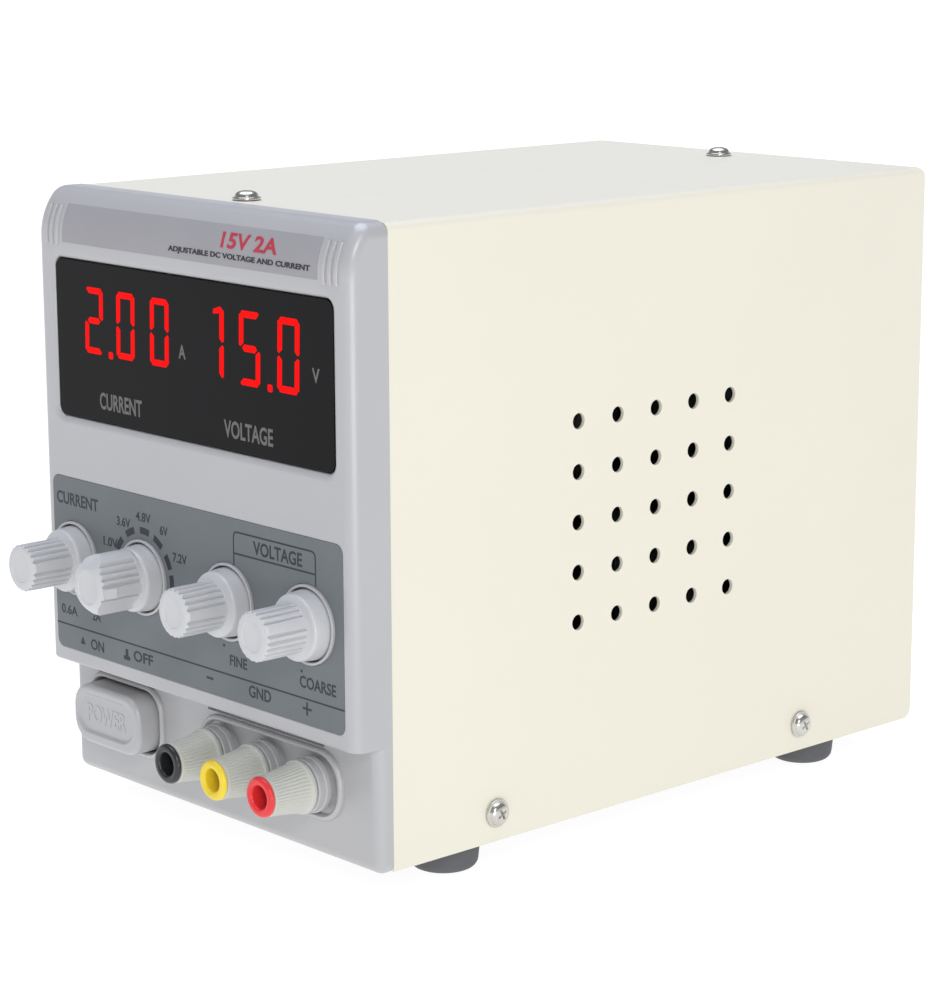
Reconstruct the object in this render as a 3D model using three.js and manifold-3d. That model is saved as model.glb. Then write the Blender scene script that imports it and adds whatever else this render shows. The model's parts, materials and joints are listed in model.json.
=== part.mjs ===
// Bench power supply: moulded front bezel with display, control label, four knobs, power
// button and three binding posts, in a sheet-metal case with a heatsink and mains inlet behind.
// Millimetres, +Z up, front facing -Y, +X to the right seen from the front.
import * as THREE from 'three';
import { mergeVertices } from 'three/addons/utils/BufferGeometryUtils.js';
import Module from 'manifold-3d';

const wasm = await Module();
wasm.setup();

// ---------------------------------------------------------------- driving dimensions
// Y = 0 is the front face of the bezel's upper block, Z = 0 the bottom edge of the case.
const GAP = 0.3;

const CASE_WIDTH = 128;
const CASE_HEIGHT = 160.5;
const CASE_BACK = 212;
const SHEET = 1;
const CORNER = 3;

const BEZEL_HALF = 64.3;
const BEZEL_DEPTH = 12;
const BEZEL_TOP = 161;
const BEZEL_BOTTOM = -0.5;
const EDGE_ROUND = 3;
const STEP_Z = 33.2;
const STEP_BACK = 7.5;
const ROLL_Z = 148;
const ROLL_RADIUS = 17.5;
const ROLL_TOP = 159.5;
const UPPER_WALL_BACK = 3.5;
const LOWER_WALL_BACK = 10;

const WINDOW = { halfX: 57.2, low: 100.8, high: 143.2, corner: 2.5, front: 0.8, back: 2.6 };
const LABEL = { halfX: 60.6, low: 36.4, high: 84, corner: 2.5, front: -0.1, back: 0.5 };
const PLATE = { halfX: 52.6, fromAngle: -0.05, toAngle: 0.54, thickness: 0.8 };
const RIB = { first: 54.4, pitch: 2.3, width: 1.1, height: 0.6, fromAngle: -0.1, toAngle: 0.5 };

const KNOB_Z = 62.1;
const KNOB_X = { current: -51, selector: -20.5, fine: 15.8, coarse: 47.4 };
const KNOB = { front: -17.8, bodyBack: -5, back: 0.9, radius: 6.5, skirtFront: 8.4, skirtBack: 9 };
const RING = { outer: 10.1, inner: 9.35, front: -0.9, floor: 1.9 };
const FLUTES = 14;
const SHAFT = { radius: 3, front: -13.5, back: 20 };
const SHAFT_BORE = SHAFT.radius + GAP;

const BUTTON = { x: -39.8, z: 19.4, halfX: 15, halfZ: 8.2, corner: 5.4, front: 0, back: 11.5 };
const BUTTON_TRAVEL = 4;
const BUTTON_STEM_END = 30;
const COLLAR = { margin: 1.9, front: 6.5 };

const POST_Z = 19;
const POST_X = { negative: 3, ground: 22, positive: 41 };
const WELL = { x: 22, z: 18.8, halfX: 29, halfZ: 9.4, corner: 8.5, lip: 1, lipFront: 6.8, floor: 8.6 };
const NUT = { front: -10.3, back: 1.7, frontRadius: 5.2, backRadius: 6.9, teeth: 16 };
const STUD = { radius: 3, socket: 2.05, front: -5.4, socketEnd: 12, back: 24 };
const END_RING = { front: -11.8, radius: 5.2, hole: 2.9, sleeve: 4, back: -6 };
const BASE = { radius: 7, flange: 7.3, flangeFront: 4.2, flangeBack: 5.8, neck: 6.3 };

const FRONT_PLATE = { front: 12.3, back: 13.5, halfX: 62.2, low: 1.6, high: 158.6, flange: 30 };
const REAR_PANEL = { front: 206.4, back: 207.9, halfX: 62.2, low: 1.6, high: 158.6, flange: 190 };
const TRAY = { low: 0.2, high: 1.2, halfX: 62.6, front: 12.6, back: 206, wall: 14 };

const VENT = { first: 75.7, pitchY: 14.15, low: 52.4, pitchZ: 13.17, radius: 2.1, count: 5 };
const SCREW = { head: 3.7, rise: 2.2, shank: 2, length: 6, hole: 2.4 };
const SIDE_SCREW_Y = [46.8, 163.1];
const SIDE_SCREW_Z = 7.6;
const TOP_SCREW_Y = [20.5, 196];

const FOOT = { x: 51, height: 8, top: 9.5, side: 8.9, chamfer: 2.2, bottom: 6.8, recess: 3.4 };
const FOOT_Y = [40.4, 178.8];

const HEATSINK = { halfX: 43, low: 66, high: 150, base: 4, finBack: 226.2, fins: 5, finPitch: 4.6 };
const OUTER_FACE = REAR_PANEL.back + GAP;
const INLET = { x: -32, z: 34, halfX: 14, halfZ: 10, depth: 17 };
const FUSE = { x: 12, z: 34, radius: 6.2, cap: 7 };
const SELECTOR = { x: 40, z: 34, travel: 4 };

// ---------------------------------------------------------------- solids
function solid(geometry) {
  const bare = geometry.clone();
  bare.deleteAttribute('normal');
  bare.deleteAttribute('uv');
  const merged = mergeVertices(bare, 1e-4);
  const kept = [];
  const index = merged.index.array;
  for (let i = 0; i < index.length; i += 3) {
    const [a, b, c] = [index[i], index[i + 1], index[i + 2]];
    if (a !== b && b !== c && c !== a) {
      kept.push(a, b, c);
    }
  }
  const vertProperties = new Float32Array(merged.attributes.position.array);
  const triVerts = new Uint32Array(kept);
  return new wasm.Manifold(new wasm.Mesh({ numProp: 3, vertProperties, triVerts }));
}

function geometryOf(body) {
  const mesh = body.getMesh();
  const geometry = new THREE.BufferGeometry();
  geometry.setAttribute('position', new THREE.BufferAttribute(new Float32Array(mesh.vertProperties), 3));
  geometry.setIndex(new THREE.BufferAttribute(new Uint32Array(mesh.triVerts), 1));
  geometry.computeVertexNormals();
  return geometry;
}

function join(...bodies) {
  return bodies.reduce((sum, body) => sum.add(body));
}

function cut(body, ...tools) {
  return tools.reduce((rest, tool) => rest.subtract(tool), body);
}

function block(x0, x1, y0, y1, z0, z1) {
  const geometry = new THREE.BoxGeometry(x1 - x0, y1 - y0, z1 - z0);
  geometry.translate((x0 + x1) / 2, (y0 + y1) / 2, (z0 + z1) / 2);
  return solid(geometry);
}

function extruded(shape, depth, curveSegments) {
  return new THREE.ExtrudeGeometry(shape, { depth, bevelEnabled: false, curveSegments });
}

// A shape drawn in X and Z, seen from the front, filling Y from y0 to y1.
function frontSlab(shape, y0, y1, curveSegments = 2) {
  const geometry = extruded(shape, y1 - y0, curveSegments);
  geometry.rotateX(Math.PI / 2);
  geometry.translate(0, y1, 0);
  return solid(geometry);
}

// A shape drawn in Y and Z, seen from the side, filling X from x0 to x1.
function sideSlab(shape, x0, x1, curveSegments = 2) {
  const geometry = extruded(shape, x1 - x0, curveSegments);
  geometry.rotateX(Math.PI / 2);
  geometry.rotateZ(Math.PI / 2);
  geometry.translate(x0, 0, 0);
  return solid(geometry);
}

// A shape drawn in X and Y, seen from above, filling Z from z0 to z1.
function planSlab(shape, z0, z1, curveSegments = 2) {
  const geometry = extruded(shape, z1 - z0, curveSegments);
  geometry.translate(0, 0, z0);
  return solid(geometry);
}

// A rectangle with its own corner radius at each end of the second axis.
function roundedRect(x0, x1, y0, y1, lowCorner, highCorner = lowCorner) {
  const shape = new THREE.Shape();
  shape.moveTo(x0 + lowCorner, y0);
  shape.lineTo(x1 - lowCorner, y0);
  shape.absarc(x1 - lowCorner, y0 + lowCorner, lowCorner, -Math.PI / 2, 0);
  shape.lineTo(x1, y1 - highCorner);
  shape.absarc(x1 - highCorner, y1 - highCorner, highCorner, 0, Math.PI / 2);
  shape.lineTo(x0 + highCorner, y1);
  shape.absarc(x0 + highCorner, y1 - highCorner, highCorner, Math.PI / 2, Math.PI);
  shape.lineTo(x0, y0 + lowCorner);
  shape.absarc(x0 + lowCorner, y0 + lowCorner, lowCorner, Math.PI, 1.5 * Math.PI);
  return shape;
}

function centredRect(x, z, halfX, halfZ, corner) {
  return roundedRect(x - halfX, x + halfX, z - halfZ, z + halfZ, corner);
}

function polygon(points) {
  return new THREE.Shape(points.map(([a, b]) => new THREE.Vector2(a, b)));
}

// A solid of revolution about an axis along Y, from [radius, y] points.
function turned(points, x = 0, z = 0, segments = 24) {
  const geometry = new THREE.LatheGeometry(points.map(([r, y]) => new THREE.Vector2(r, y)), segments);
  geometry.translate(x, 0, z);
  return solid(geometry);
}

function rod(radius, y0, y1, x = 0, z = 0, segments = 24) {
  return turned([[0, y0], [radius, y0], [radius, y1], [0, y1]], x, z, segments);
}

// Scales a body about its axis along Y, from one factor at y0 to another at y1.
function tapered(body, x, z, y0, y1, factor0, factor1) {
  const mesh = body.getMesh();
  const vertices = new Float32Array(mesh.vertProperties);
  for (let i = 0; i < vertices.length; i += 3) {
    const t = (vertices[i + 1] - y0) / (y1 - y0);
    const factor = factor0 + t * (factor1 - factor0);
    vertices[i] = x + (vertices[i] - x) * factor;
    vertices[i + 2] = z + (vertices[i + 2] - z) * factor;
  }
  const triVerts = new Uint32Array(mesh.triVerts);
  return new wasm.Manifold(new wasm.Mesh({ numProp: 3, vertProperties: vertices, triVerts }));
}

function material(color, roughness, metalness) {
  return () => new THREE.MeshStandardMaterial({ color, roughness, metalness });
}

const FINISH = {
  bezel: material(0xc3c4c9, 0.5, 0),
  knob: material(0xc9cacd, 0.45, 0),
  window: material(0x1d1c1d, 0.12, 0),
  label: material(0x777b81, 0.6, 0),
  plate: material(0xa3a2a8, 0.6, 0),
  cover: material(0xf0ebdf, 0.5, 0.05),
  sheet: material(0x9fa2a4, 0.4, 0.9),
  rubber: material(0x3a3c42, 0.85, 0),
  steel: material(0xb8b8b4, 0.3, 1),
  nut: material(0xbfc0b8, 0.5, 0),
  black: material(0x1b1b1c, 0.4, 0),
  yellow: material(0xe0c42e, 0.35, 0),
  red: material(0xc8262b, 0.35, 0),
  brass: material(0xc9a35a, 0.3, 1),
  aluminium: material(0x8e9194, 0.4, 0.9),
  board: material(0x2f6b3c, 0.6, 0),
  led: material(0x3a3a3c, 0.5, 0),
  laminate: material(0x4a4642, 0.6, 0.6),
  tape: material(0xc8a13a, 0.5, 0),
  sleeve: material(0x23314f, 0.4, 0),
};

const model = new THREE.Group();

function place(name, body, finish, group = model) {
  const mesh = new THREE.Mesh(geometryOf(body), FINISH[finish]());
  mesh.name = name;
  group.add(mesh);
}

// ---------------------------------------------------------------- bezel
function arcPoints(centreY, centreZ, radius, fromAngle, toAngle, steps) {
  const points = [];
  for (let i = 0; i <= steps; i++) {
    const angle = fromAngle + (toAngle - fromAngle) * i / steps;
    points.push([centreY - radius * Math.cos(angle), centreZ + radius * Math.sin(angle)]);
  }
  return points;
}

// The band between two radii of the bezel's rolled-back top, from one angle to another.
function rollBand(outer, inner, fromAngle, toAngle, steps = 6) {
  const front = arcPoints(ROLL_RADIUS, ROLL_Z, outer, fromAngle, toAngle, steps);
  const back = arcPoints(ROLL_RADIUS, ROLL_Z, inner, fromAngle, toAngle, steps);
  return polygon([...front, ...back.reverse()]);
}

function upperBlock() {
  const rollEnd = Math.asin((ROLL_TOP - ROLL_Z) / ROLL_RADIUS);
  const under = 1.5;
  const profile = polygon([
    [BEZEL_DEPTH, STEP_Z],
    [under, STEP_Z],
    [under * 0.3, STEP_Z + under * 0.3],
    [0, STEP_Z + under],
    ...arcPoints(ROLL_RADIUS, ROLL_Z, ROLL_RADIUS, 0, rollEnd, 8),
    [6.6, BEZEL_TOP],
    [BEZEL_DEPTH, BEZEL_TOP],
  ]);
  const outline = roundedRect(-BEZEL_HALF, BEZEL_HALF, STEP_Z, BEZEL_TOP, EDGE_ROUND, 5);
  const plan = roundedRect(-BEZEL_HALF, BEZEL_HALF, 0, BEZEL_DEPTH, EDGE_ROUND, 0.01);
  return sideSlab(profile, -BEZEL_HALF, BEZEL_HALF)
    .intersect(frontSlab(outline, -1, BEZEL_DEPTH + 1))
    .intersect(planSlab(plan, 0, BEZEL_TOP + 1));
}

function lowerBlock() {
  const top = STEP_Z + 4;
  const outline = roundedRect(-BEZEL_HALF, BEZEL_HALF, BEZEL_BOTTOM, top, EDGE_ROUND, 0.01);
  const plan = roundedRect(-BEZEL_HALF, BEZEL_HALF, STEP_BACK, BEZEL_DEPTH, EDGE_ROUND, 0.01);
  const profile = polygon([
    [BEZEL_DEPTH, BEZEL_BOTTOM],
    [STEP_BACK + 2, BEZEL_BOTTOM],
    [STEP_BACK + 0.6, BEZEL_BOTTOM + 0.6],
    [STEP_BACK, BEZEL_BOTTOM + 2],
    [STEP_BACK, top],
    [BEZEL_DEPTH, top],
  ]);
  return sideSlab(profile, -BEZEL_HALF, BEZEL_HALF)
    .intersect(frontSlab(outline, 0, BEZEL_DEPTH + 1))
    .intersect(planSlab(plan, BEZEL_BOTTOM - 1, top + 1));
}

function bezelCavity() {
  const half = BEZEL_HALF - 2.5;
  const behind = BEZEL_DEPTH + 1;
  return join(
    block(-half, half, UPPER_WALL_BACK, behind, STEP_Z + 3.3, ROLL_Z + 1),
    block(-half, half, 7.5, behind, ROLL_Z - 1, BEZEL_TOP - 3.5),
    block(-half, half, LOWER_WALL_BACK, behind, 2.5, STEP_Z + 4),
  );
}

function knobSeat(x) {
  const ring = rod(RING.outer, RING.front, 1.4, x, KNOB_Z, 20);
  const pocket = join(
    rod(RING.inner, -2, RING.floor, x, KNOB_Z, 20),
    rod(5, -2, UPPER_WALL_BACK + 1, x, KNOB_Z, 12),
  );
  return { ring, pocket };
}

function buttonCollar() {
  const { x, z, halfX, halfZ, corner } = BUTTON;
  const grown = (margin) => centredRect(x, z, halfX + margin, halfZ + margin, corner + margin);
  const collar = frontSlab(grown(COLLAR.margin), COLLAR.front, STEP_BACK + 1);
  const opening = frontSlab(grown(GAP + 0.1), COLLAR.front - 1, BEZEL_DEPTH);
  return { collar, opening };
}

function postWell() {
  const { x, z, halfX, halfZ, corner, lip, lipFront, floor } = WELL;
  const rim = frontSlab(centredRect(x, z, halfX, halfZ, corner), lipFront, STEP_BACK + 1);
  const pocket = frontSlab(centredRect(x, z, halfX - lip, halfZ - lip, corner - lip), lipFront - 1, floor);
  const holes = Object.values(POST_X).map((px) => rod(STUD.radius + 0.4, 5, BEZEL_DEPTH, px, POST_Z, 12));
  return { rim, pocket: join(pocket, ...holes) };
}

function faceRibs() {
  const ribs = [];
  for (const side of [-1, 1]) {
    for (let i = 0; i < 3; i++) {
      const x = side * (RIB.first + RIB.width / 2 + i * RIB.pitch);
      const band = rollBand(ROLL_RADIUS + RIB.height, ROLL_RADIUS - 0.5, RIB.fromAngle, RIB.toAngle, 5);
      ribs.push(sideSlab(band, x - RIB.width / 2, x + RIB.width / 2));
    }
  }
  return ribs;
}

function windowOpening() {
  const { halfX, low, high, corner, back } = WINDOW;
  const seat = roundedRect(-halfX - GAP, halfX + GAP, low - GAP, high + GAP, corner);
  const light = roundedRect(-halfX + 3, halfX - 3, low + 3, high - 3, corner);
  return join(frontSlab(seat, -1, back + GAP), frontSlab(light, 0, UPPER_WALL_BACK + 1));
}

function labelRecess() {
  const { halfX, low, high, corner, back } = LABEL;
  const seat = roundedRect(-halfX - GAP, halfX + GAP, low - GAP, high + GAP, corner);
  return frontSlab(seat, -1, back + GAP);
}

function plateRecess() {
  const margin = GAP / ROLL_RADIUS;
  const floor = ROLL_RADIUS - PLATE.thickness - GAP;
  const band = rollBand(ROLL_RADIUS + 1, floor, PLATE.fromAngle - margin, PLATE.toAngle + margin);
  return sideSlab(band, -PLATE.halfX - GAP, PLATE.halfX + GAP);
}

function bezel() {
  const seats = Object.values(KNOB_X).map(knobSeat);
  const button = buttonCollar();
  const well = postWell();
  const shell = cut(
    join(upperBlock(), lowerBlock(), button.collar, well.rim, ...faceRibs()),
    bezelCavity(),
    windowOpening(),
    labelRecess(),
    plateRecess(),
    button.opening,
    well.pocket,
  );
  const ringed = join(shell, ...seats.map((seat) => seat.ring));
  return cut(ringed, ...seats.map((seat) => seat.pocket));
}

function controlLabel() {
  const { halfX, low, high, corner, front, back } = LABEL;
  const sheet = frontSlab(roundedRect(-halfX, halfX, low, high, corner), front, back);
  const holes = Object.values(KNOB_X).map((x) => rod(RING.outer + GAP, front - 1, back + 1, x, KNOB_Z, 20));
  return cut(sheet, ...holes);
}

function displayWindow() {
  const { halfX, low, high, corner, front, back } = WINDOW;
  return frontSlab(roundedRect(-halfX, halfX, low, high, corner), front, back);
}

function namePlate() {
  const band = rollBand(ROLL_RADIUS + 0.1, ROLL_RADIUS - PLATE.thickness, PLATE.fromAngle, PLATE.toAngle);
  return sideSlab(band, -PLATE.halfX, PLATE.halfX);
}

// ---------------------------------------------------------------- knobs and controls
// The gripping outline: equal flutes all round with one wide smooth land at the given angle.
function flutedOutline(x, z, ridge, valley, count, landAngle) {
  const points = [];
  for (let i = 0; i < count; i++) {
    const angle = landAngle + (i + 0.5) * 2 * Math.PI / count;
    const halfStep = Math.PI / count;
    const onLand = i === 0 || i === count - 1;
    for (const [step, radius] of [[-0.5, ridge], [0.5, onLand ? ridge : valley]]) {
      const a = angle + halfStep * step;
      points.push([x + radius * Math.cos(a), z + radius * Math.sin(a)]);
    }
  }
  return polygon(points);
}

function knob(x, pointer) {
  const { front, bodyBack, back, radius, skirtFront, skirtBack } = KNOB;
  const grip = frontSlab(flutedOutline(x, KNOB_Z, radius, radius - 0.55, FLUTES, -0.15), front + 2, bodyBack + 1);
  const nose = turned([
    [0, front],
    [radius - 0.7, front],
    [radius - 0.2, front + 0.5],
    [radius - 0.2, front + 2.2],
    [0, front + 2.2],
  ], x, KNOB_Z, 20);
  const skirt = turned([
    [0, bodyBack],
    [skirtFront, bodyBack],
    [skirtBack, back],
    [0, back],
  ], x, KNOB_Z, 20);
  const parts = [grip, nose, skirt];
  if (pointer) {
    const tip = [[x - 4.2, KNOB_Z - 4], [x - 0.8, KNOB_Z - 8.3], [x + 0.8, KNOB_Z - 8.3], [x + 4.2, KNOB_Z - 4]];
    parts.push(frontSlab(polygon(tip), front + 1, bodyBack + 1));
  }
  return cut(join(...parts), rod(SHAFT_BORE, SHAFT.front - GAP, back + 1, x, KNOB_Z, 12));
}

function shaft(x) {
  return rod(SHAFT.radius, SHAFT.front, SHAFT.back, x, KNOB_Z, 12);
}

// A panel-mounted control: threaded bush forward through the panel, body behind it.
function shaftControl(x, bodyRadius, bodyLength) {
  const seat = FRONT_PLATE.back + GAP;
  return turned([
    [0, SHAFT.back + GAP],
    [SHAFT_BORE, SHAFT.back + GAP],
    [SHAFT_BORE, 2.4],
    [4.5, 2.4],
    [4.5, seat],
    [bodyRadius, seat],
    [bodyRadius, seat + bodyLength],
    [0, seat + bodyLength],
  ], x, KNOB_Z, 12);
}

function powerButton() {
  const { x, z, halfX, halfZ, corner, front, back } = BUTTON;
  const cap = join(
    frontSlab(centredRect(x, z, halfX, halfZ, corner), front + 1, back),
    frontSlab(centredRect(x, z, halfX - 0.7, halfZ - 0.7, corner - 0.7), front, front + 2),
  );
  const stem = 2.2;
  return join(cap, block(x - stem, x + stem, back - 1, BUTTON_STEM_END, z - stem, z + stem));
}

// A switch body on a yoke that reaches the front plate on both sides of the button's opening.
function powerSwitch() {
  const { x, z, halfX } = BUTTON;
  const yokeInner = halfX + 1.2;
  const yokeOuter = yokeInner + 2.8;
  const half = 8;
  const bodyFront = BUTTON.back + BUTTON_TRAVEL + 4;
  const body = block(x - half, x + half, bodyFront, 46, z - half, z + half);
  const bridge = block(x - yokeOuter, x + yokeOuter, bodyFront, bodyFront + 3, z - half, z + half);
  const arms = [-1, 1].map((side) => {
    const ends = [x + side * yokeInner, x + side * yokeOuter].sort((a, b) => a - b);
    return block(...ends, FRONT_PLATE.back + GAP, bodyFront + 1, z - half, z + half);
  });
  const way = block(x - 2.6, x + 2.6, 18, BUTTON_STEM_END + BUTTON_TRAVEL + 1, z - 2.6, z + 2.6);
  return cut(join(body, bridge, ...arms), way);
}

// ---------------------------------------------------------------- binding posts
function thumbNut(x) {
  const { front, back, frontRadius, backRadius, teeth } = NUT;
  const outline = [];
  for (let i = 0; i < 2 * teeth; i++) {
    const radius = i % 2 ? backRadius : backRadius - 0.35;
    const angle = i * Math.PI / teeth;
    outline.push([x + radius * Math.cos(angle), POST_Z + radius * Math.sin(angle)]);
  }
  const straight = frontSlab(polygon(outline), front, back);
  const body = tapered(straight, x, POST_Z, front, back, frontRadius / backRadius, 1);
  return cut(
    body,
    rod(END_RING.sleeve + GAP, front - 1, END_RING.back + GAP, x, POST_Z, 12),
    rod(STUD.radius + GAP, front, back + 1, x, POST_Z, 12),
  );
}

// The coloured insulating end of a thumb nut, with the socket's mouth through it.
function endRing(x) {
  const { front, radius, hole, sleeve, back } = END_RING;
  const shoulder = NUT.front - GAP;
  return turned([
    [hole, front],
    [radius - 0.5, front],
    [radius, front + 0.5],
    [radius, shoulder],
    [sleeve, shoulder],
    [sleeve, back],
    [hole, back],
    [hole, front],
  ], x, POST_Z, 16);
}

function stud(x) {
  const { radius, socket, front, socketEnd, back } = STUD;
  const nut = FRONT_PLATE.back + GAP;
  return turned([
    [0, socketEnd],
    [socket, socketEnd],
    [socket, front],
    [radius, front],
    [radius, nut],
    [5.4, nut],
    [5.4, nut + 3],
    [radius, nut + 3],
    [radius, back],
    [0, back],
  ], x, POST_Z, 12);
}

// The stepped collar a post stands on: a drum, a thin flange behind it and a narrower neck.
function postBase(x) {
  const { radius, flange, flangeFront, flangeBack, neck } = BASE;
  const front = NUT.back + GAP;
  const back = WELL.floor - GAP;
  const bore = STUD.radius + GAP;
  return turned([
    [bore, front],
    [radius, front],
    [radius, flangeFront],
    [flange, flangeFront],
    [flange, flangeBack],
    [neck, flangeBack],
    [neck, back],
    [bore, back],
    [bore, front],
  ], x, POST_Z, 16);
}

// ---------------------------------------------------------------- case
function ventHoles(side) {
  const wall = side * CASE_WIDTH / 2;
  const holes = [];
  for (let row = 0; row < VENT.count; row++) {
    for (let column = 0; column < VENT.count; column++) {
      const hole = new THREE.CylinderGeometry(VENT.radius, VENT.radius, 6, 8);
      hole.rotateZ(Math.PI / 2);
      hole.translate(wall, VENT.first + column * VENT.pitchY, VENT.low + row * VENT.pitchZ);
      holes.push(solid(hole));
    }
  }
  return holes;
}

function screwHolesX(side) {
  return SIDE_SCREW_Y.map((y) => {
    const hole = new THREE.CylinderGeometry(SCREW.hole, SCREW.hole, 8, 8);
    hole.rotateZ(Math.PI / 2);
    hole.translate(side * CASE_WIDTH / 2, y, SIDE_SCREW_Z);
    return solid(hole);
  });
}

function screwHolesZ() {
  return TOP_SCREW_Y.map((y) => {
    const hole = new THREE.CylinderGeometry(SCREW.hole, SCREW.hole, 8, 8);
    hole.rotateX(Math.PI / 2);
    hole.translate(0, y, CASE_HEIGHT);
    return solid(hole);
  });
}

function coverSheet() {
  const half = CASE_WIDTH / 2;
  const front = BEZEL_DEPTH + GAP;
  const bend = 2;
  const outer = roundedRect(-half, half, -10, CASE_HEIGHT, 0.01, bend);
  const inner = roundedRect(-half + SHEET, half - SHEET, -12, CASE_HEIGHT - SHEET, 0.01, bend - SHEET);
  const channel = frontSlab(outer, front, CASE_BACK).subtract(frontSlab(inner, front - 1, CASE_BACK + 1));
  const side = new THREE.Shape();
  side.moveTo(front, 0);
  side.lineTo(CASE_BACK - CORNER, 0);
  side.absarc(CASE_BACK - CORNER, CORNER, CORNER, -Math.PI / 2, 0);
  side.lineTo(CASE_BACK, CASE_HEIGHT - CORNER);
  side.absarc(CASE_BACK - CORNER, CASE_HEIGHT - CORNER, CORNER, 0, Math.PI / 2);
  side.lineTo(front, CASE_HEIGHT);
  const trimmed = channel.intersect(sideSlab(side, -half - 1, half + 1));
  return cut(trimmed, ...ventHoles(-1), ...ventHoles(1), ...screwHolesX(-1), ...screwHolesX(1), ...screwHolesZ());
}

function tray() {
  const { low, high, halfX, front, back, wall } = TRAY;
  const bosses = [[-6, 34], [53, 34], [-6, 96], [53, 96]].map(([x, y]) => block(x - 3, x + 3, y - 3, y + 3, low, 8.7));
  const body = join(
    block(-halfX, halfX, front, back, low, high),
    block(-halfX, -halfX + SHEET, front + 2, back, low, wall),
    block(halfX - SHEET, halfX, front + 2, back, low, wall),
    ...bosses,
  );
  return cut(body, ...screwHolesX(-1), ...screwHolesX(1));
}

function foot(x, y) {
  const { height, top, side, chamfer, bottom, recess } = FOOT;
  const upper = TRAY.low - GAP;
  const geometry = new THREE.LatheGeometry([
    [0, -height + 5],
    [recess, -height + 5],
    [recess, -height],
    [bottom, -height],
    [side, -height + chamfer],
    [top, upper],
    [0, upper],
  ].map(([r, z]) => new THREE.Vector2(r, z)), 16);
  geometry.rotateX(Math.PI / 2);
  geometry.translate(x, y, 0);
  return solid(geometry);
}

// A pan-head screw along +Z with its seat at Z = 0.
function screwGeometry() {
  return new THREE.LatheGeometry([
    [0, -SCREW.length],
    [SCREW.shank, -SCREW.length],
    [SCREW.shank, 0],
    [SCREW.head, 0],
    [SCREW.head, 0.6],
    [SCREW.head - 1.4, SCREW.rise],
    [0, SCREW.rise],
  ].map(([r, z]) => new THREE.Vector2(r, z)), 12).rotateX(Math.PI / 2);
}

function topScrew(y) {
  const geometry = screwGeometry();
  geometry.translate(0, y, CASE_HEIGHT + GAP);
  return solid(geometry);
}

function sideScrew(side, y) {
  const geometry = screwGeometry();
  geometry.rotateY(side * Math.PI / 2);
  geometry.translate(side * (CASE_WIDTH / 2 + GAP), y, SIDE_SCREW_Z);
  return solid(geometry);
}

function frontPlate() {
  const { front, back, halfX, low, high, flange } = FRONT_PLATE;
  const holes = [
    ...Object.values(KNOB_X).map((x) => rod(4.9, front - 1, back + 1, x, KNOB_Z, 12)),
    ...Object.values(POST_X).map((x) => rod(STUD.radius + 0.4, front - 1, back + 1, x, POST_Z, 12)),
  ];
  const { x, z, halfX: buttonX, halfZ: buttonZ } = BUTTON;
  return cut(
    join(block(-halfX, halfX, front, back, low, high), block(-30, 30, front, flange, high - SHEET, high)),
    ...holes,
    block(x - buttonX - 0.6, x + buttonX + 0.6, front - 1, back + 1, z - buttonZ - 0.6, z + buttonZ + 0.6),
    block(-40, 40, front - 1, back + 1, 110, 134),
    ...screwHolesZ(),
  );
}

// ---------------------------------------------------------------- inside
function displayBoard() {
  return block(-58, 58, 8.8, 10.4, 97, 147);
}

function digitModule(x) {
  return block(x - 20, x + 20, 3.2, 8.5, 112, 139);
}

const TRANSFORMER = { x: -8, y: 140, z: 1.5, width: 76, height: 63.5, stack: 44, leg: 12.7 };

function transformerCore() {
  const { x, y, z, width, height, stack, leg } = TRANSFORMER;
  const y0 = y - stack / 2;
  const y1 = y + stack / 2;
  const windows = [-1, 1].map((side) => block(x + side * 1.5 * leg - leg / 2, x + side * 1.5 * leg + leg / 2,
    y0 - 1, y1 + 1, z + leg, z + height - leg));
  return cut(block(x - width / 2, x + width / 2, y0, y1, z, z + height), ...windows);
}

function transformerWinding() {
  const { x, y, z, height, stack, leg } = TRANSFORMER;
  const outer = roundedRect(x - 2 * leg + GAP, x + 2 * leg - GAP, y - stack / 2 - 12, y + stack / 2 + 12, 5);
  const inner = roundedRect(x - leg - GAP, x + leg + GAP, y - stack / 2 - GAP, y + stack / 2 + GAP, 0.01);
  const z0 = z + leg + GAP;
  const z1 = z + height - leg - GAP;
  return planSlab(outer, z0, z1).subtract(planSlab(inner, z0 - 1, z1 + 1));
}

function transformerBracket() {
  const { x, y, z, width, height } = TRANSFORMER;
  const inX = width / 2 + GAP;
  const outX = inX + 1.2;
  const footX = outX + 9;
  const top = z + height + GAP;
  const profile = polygon([
    [x - footX, z], [x - inX, z], [x - inX, top], [x + inX, top], [x + inX, z], [x + footX, z],
    [x + footX, z + 1.2], [x + outX, z + 1.2], [x + outX, top + 1.2], [x - outX, top + 1.2],
    [x - outX, z + 1.2], [x - footX, z + 1.2],
  ]);
  return frontSlab(profile, y - 18, y + 18);
}

function mainBoard() {
  return block(-10, 57.5, 30, 100, 9, 10.6);
}

function capacitor(x, y, radius, height) {
  const geometry = new THREE.CylinderGeometry(radius, radius, height, 24);
  geometry.rotateX(Math.PI / 2);
  geometry.translate(x, y, 10.9 + height / 2);
  return solid(geometry);
}

function bridgeRectifier() {
  return block(4, 24, 84, 90, 10.9, 28);
}

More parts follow.
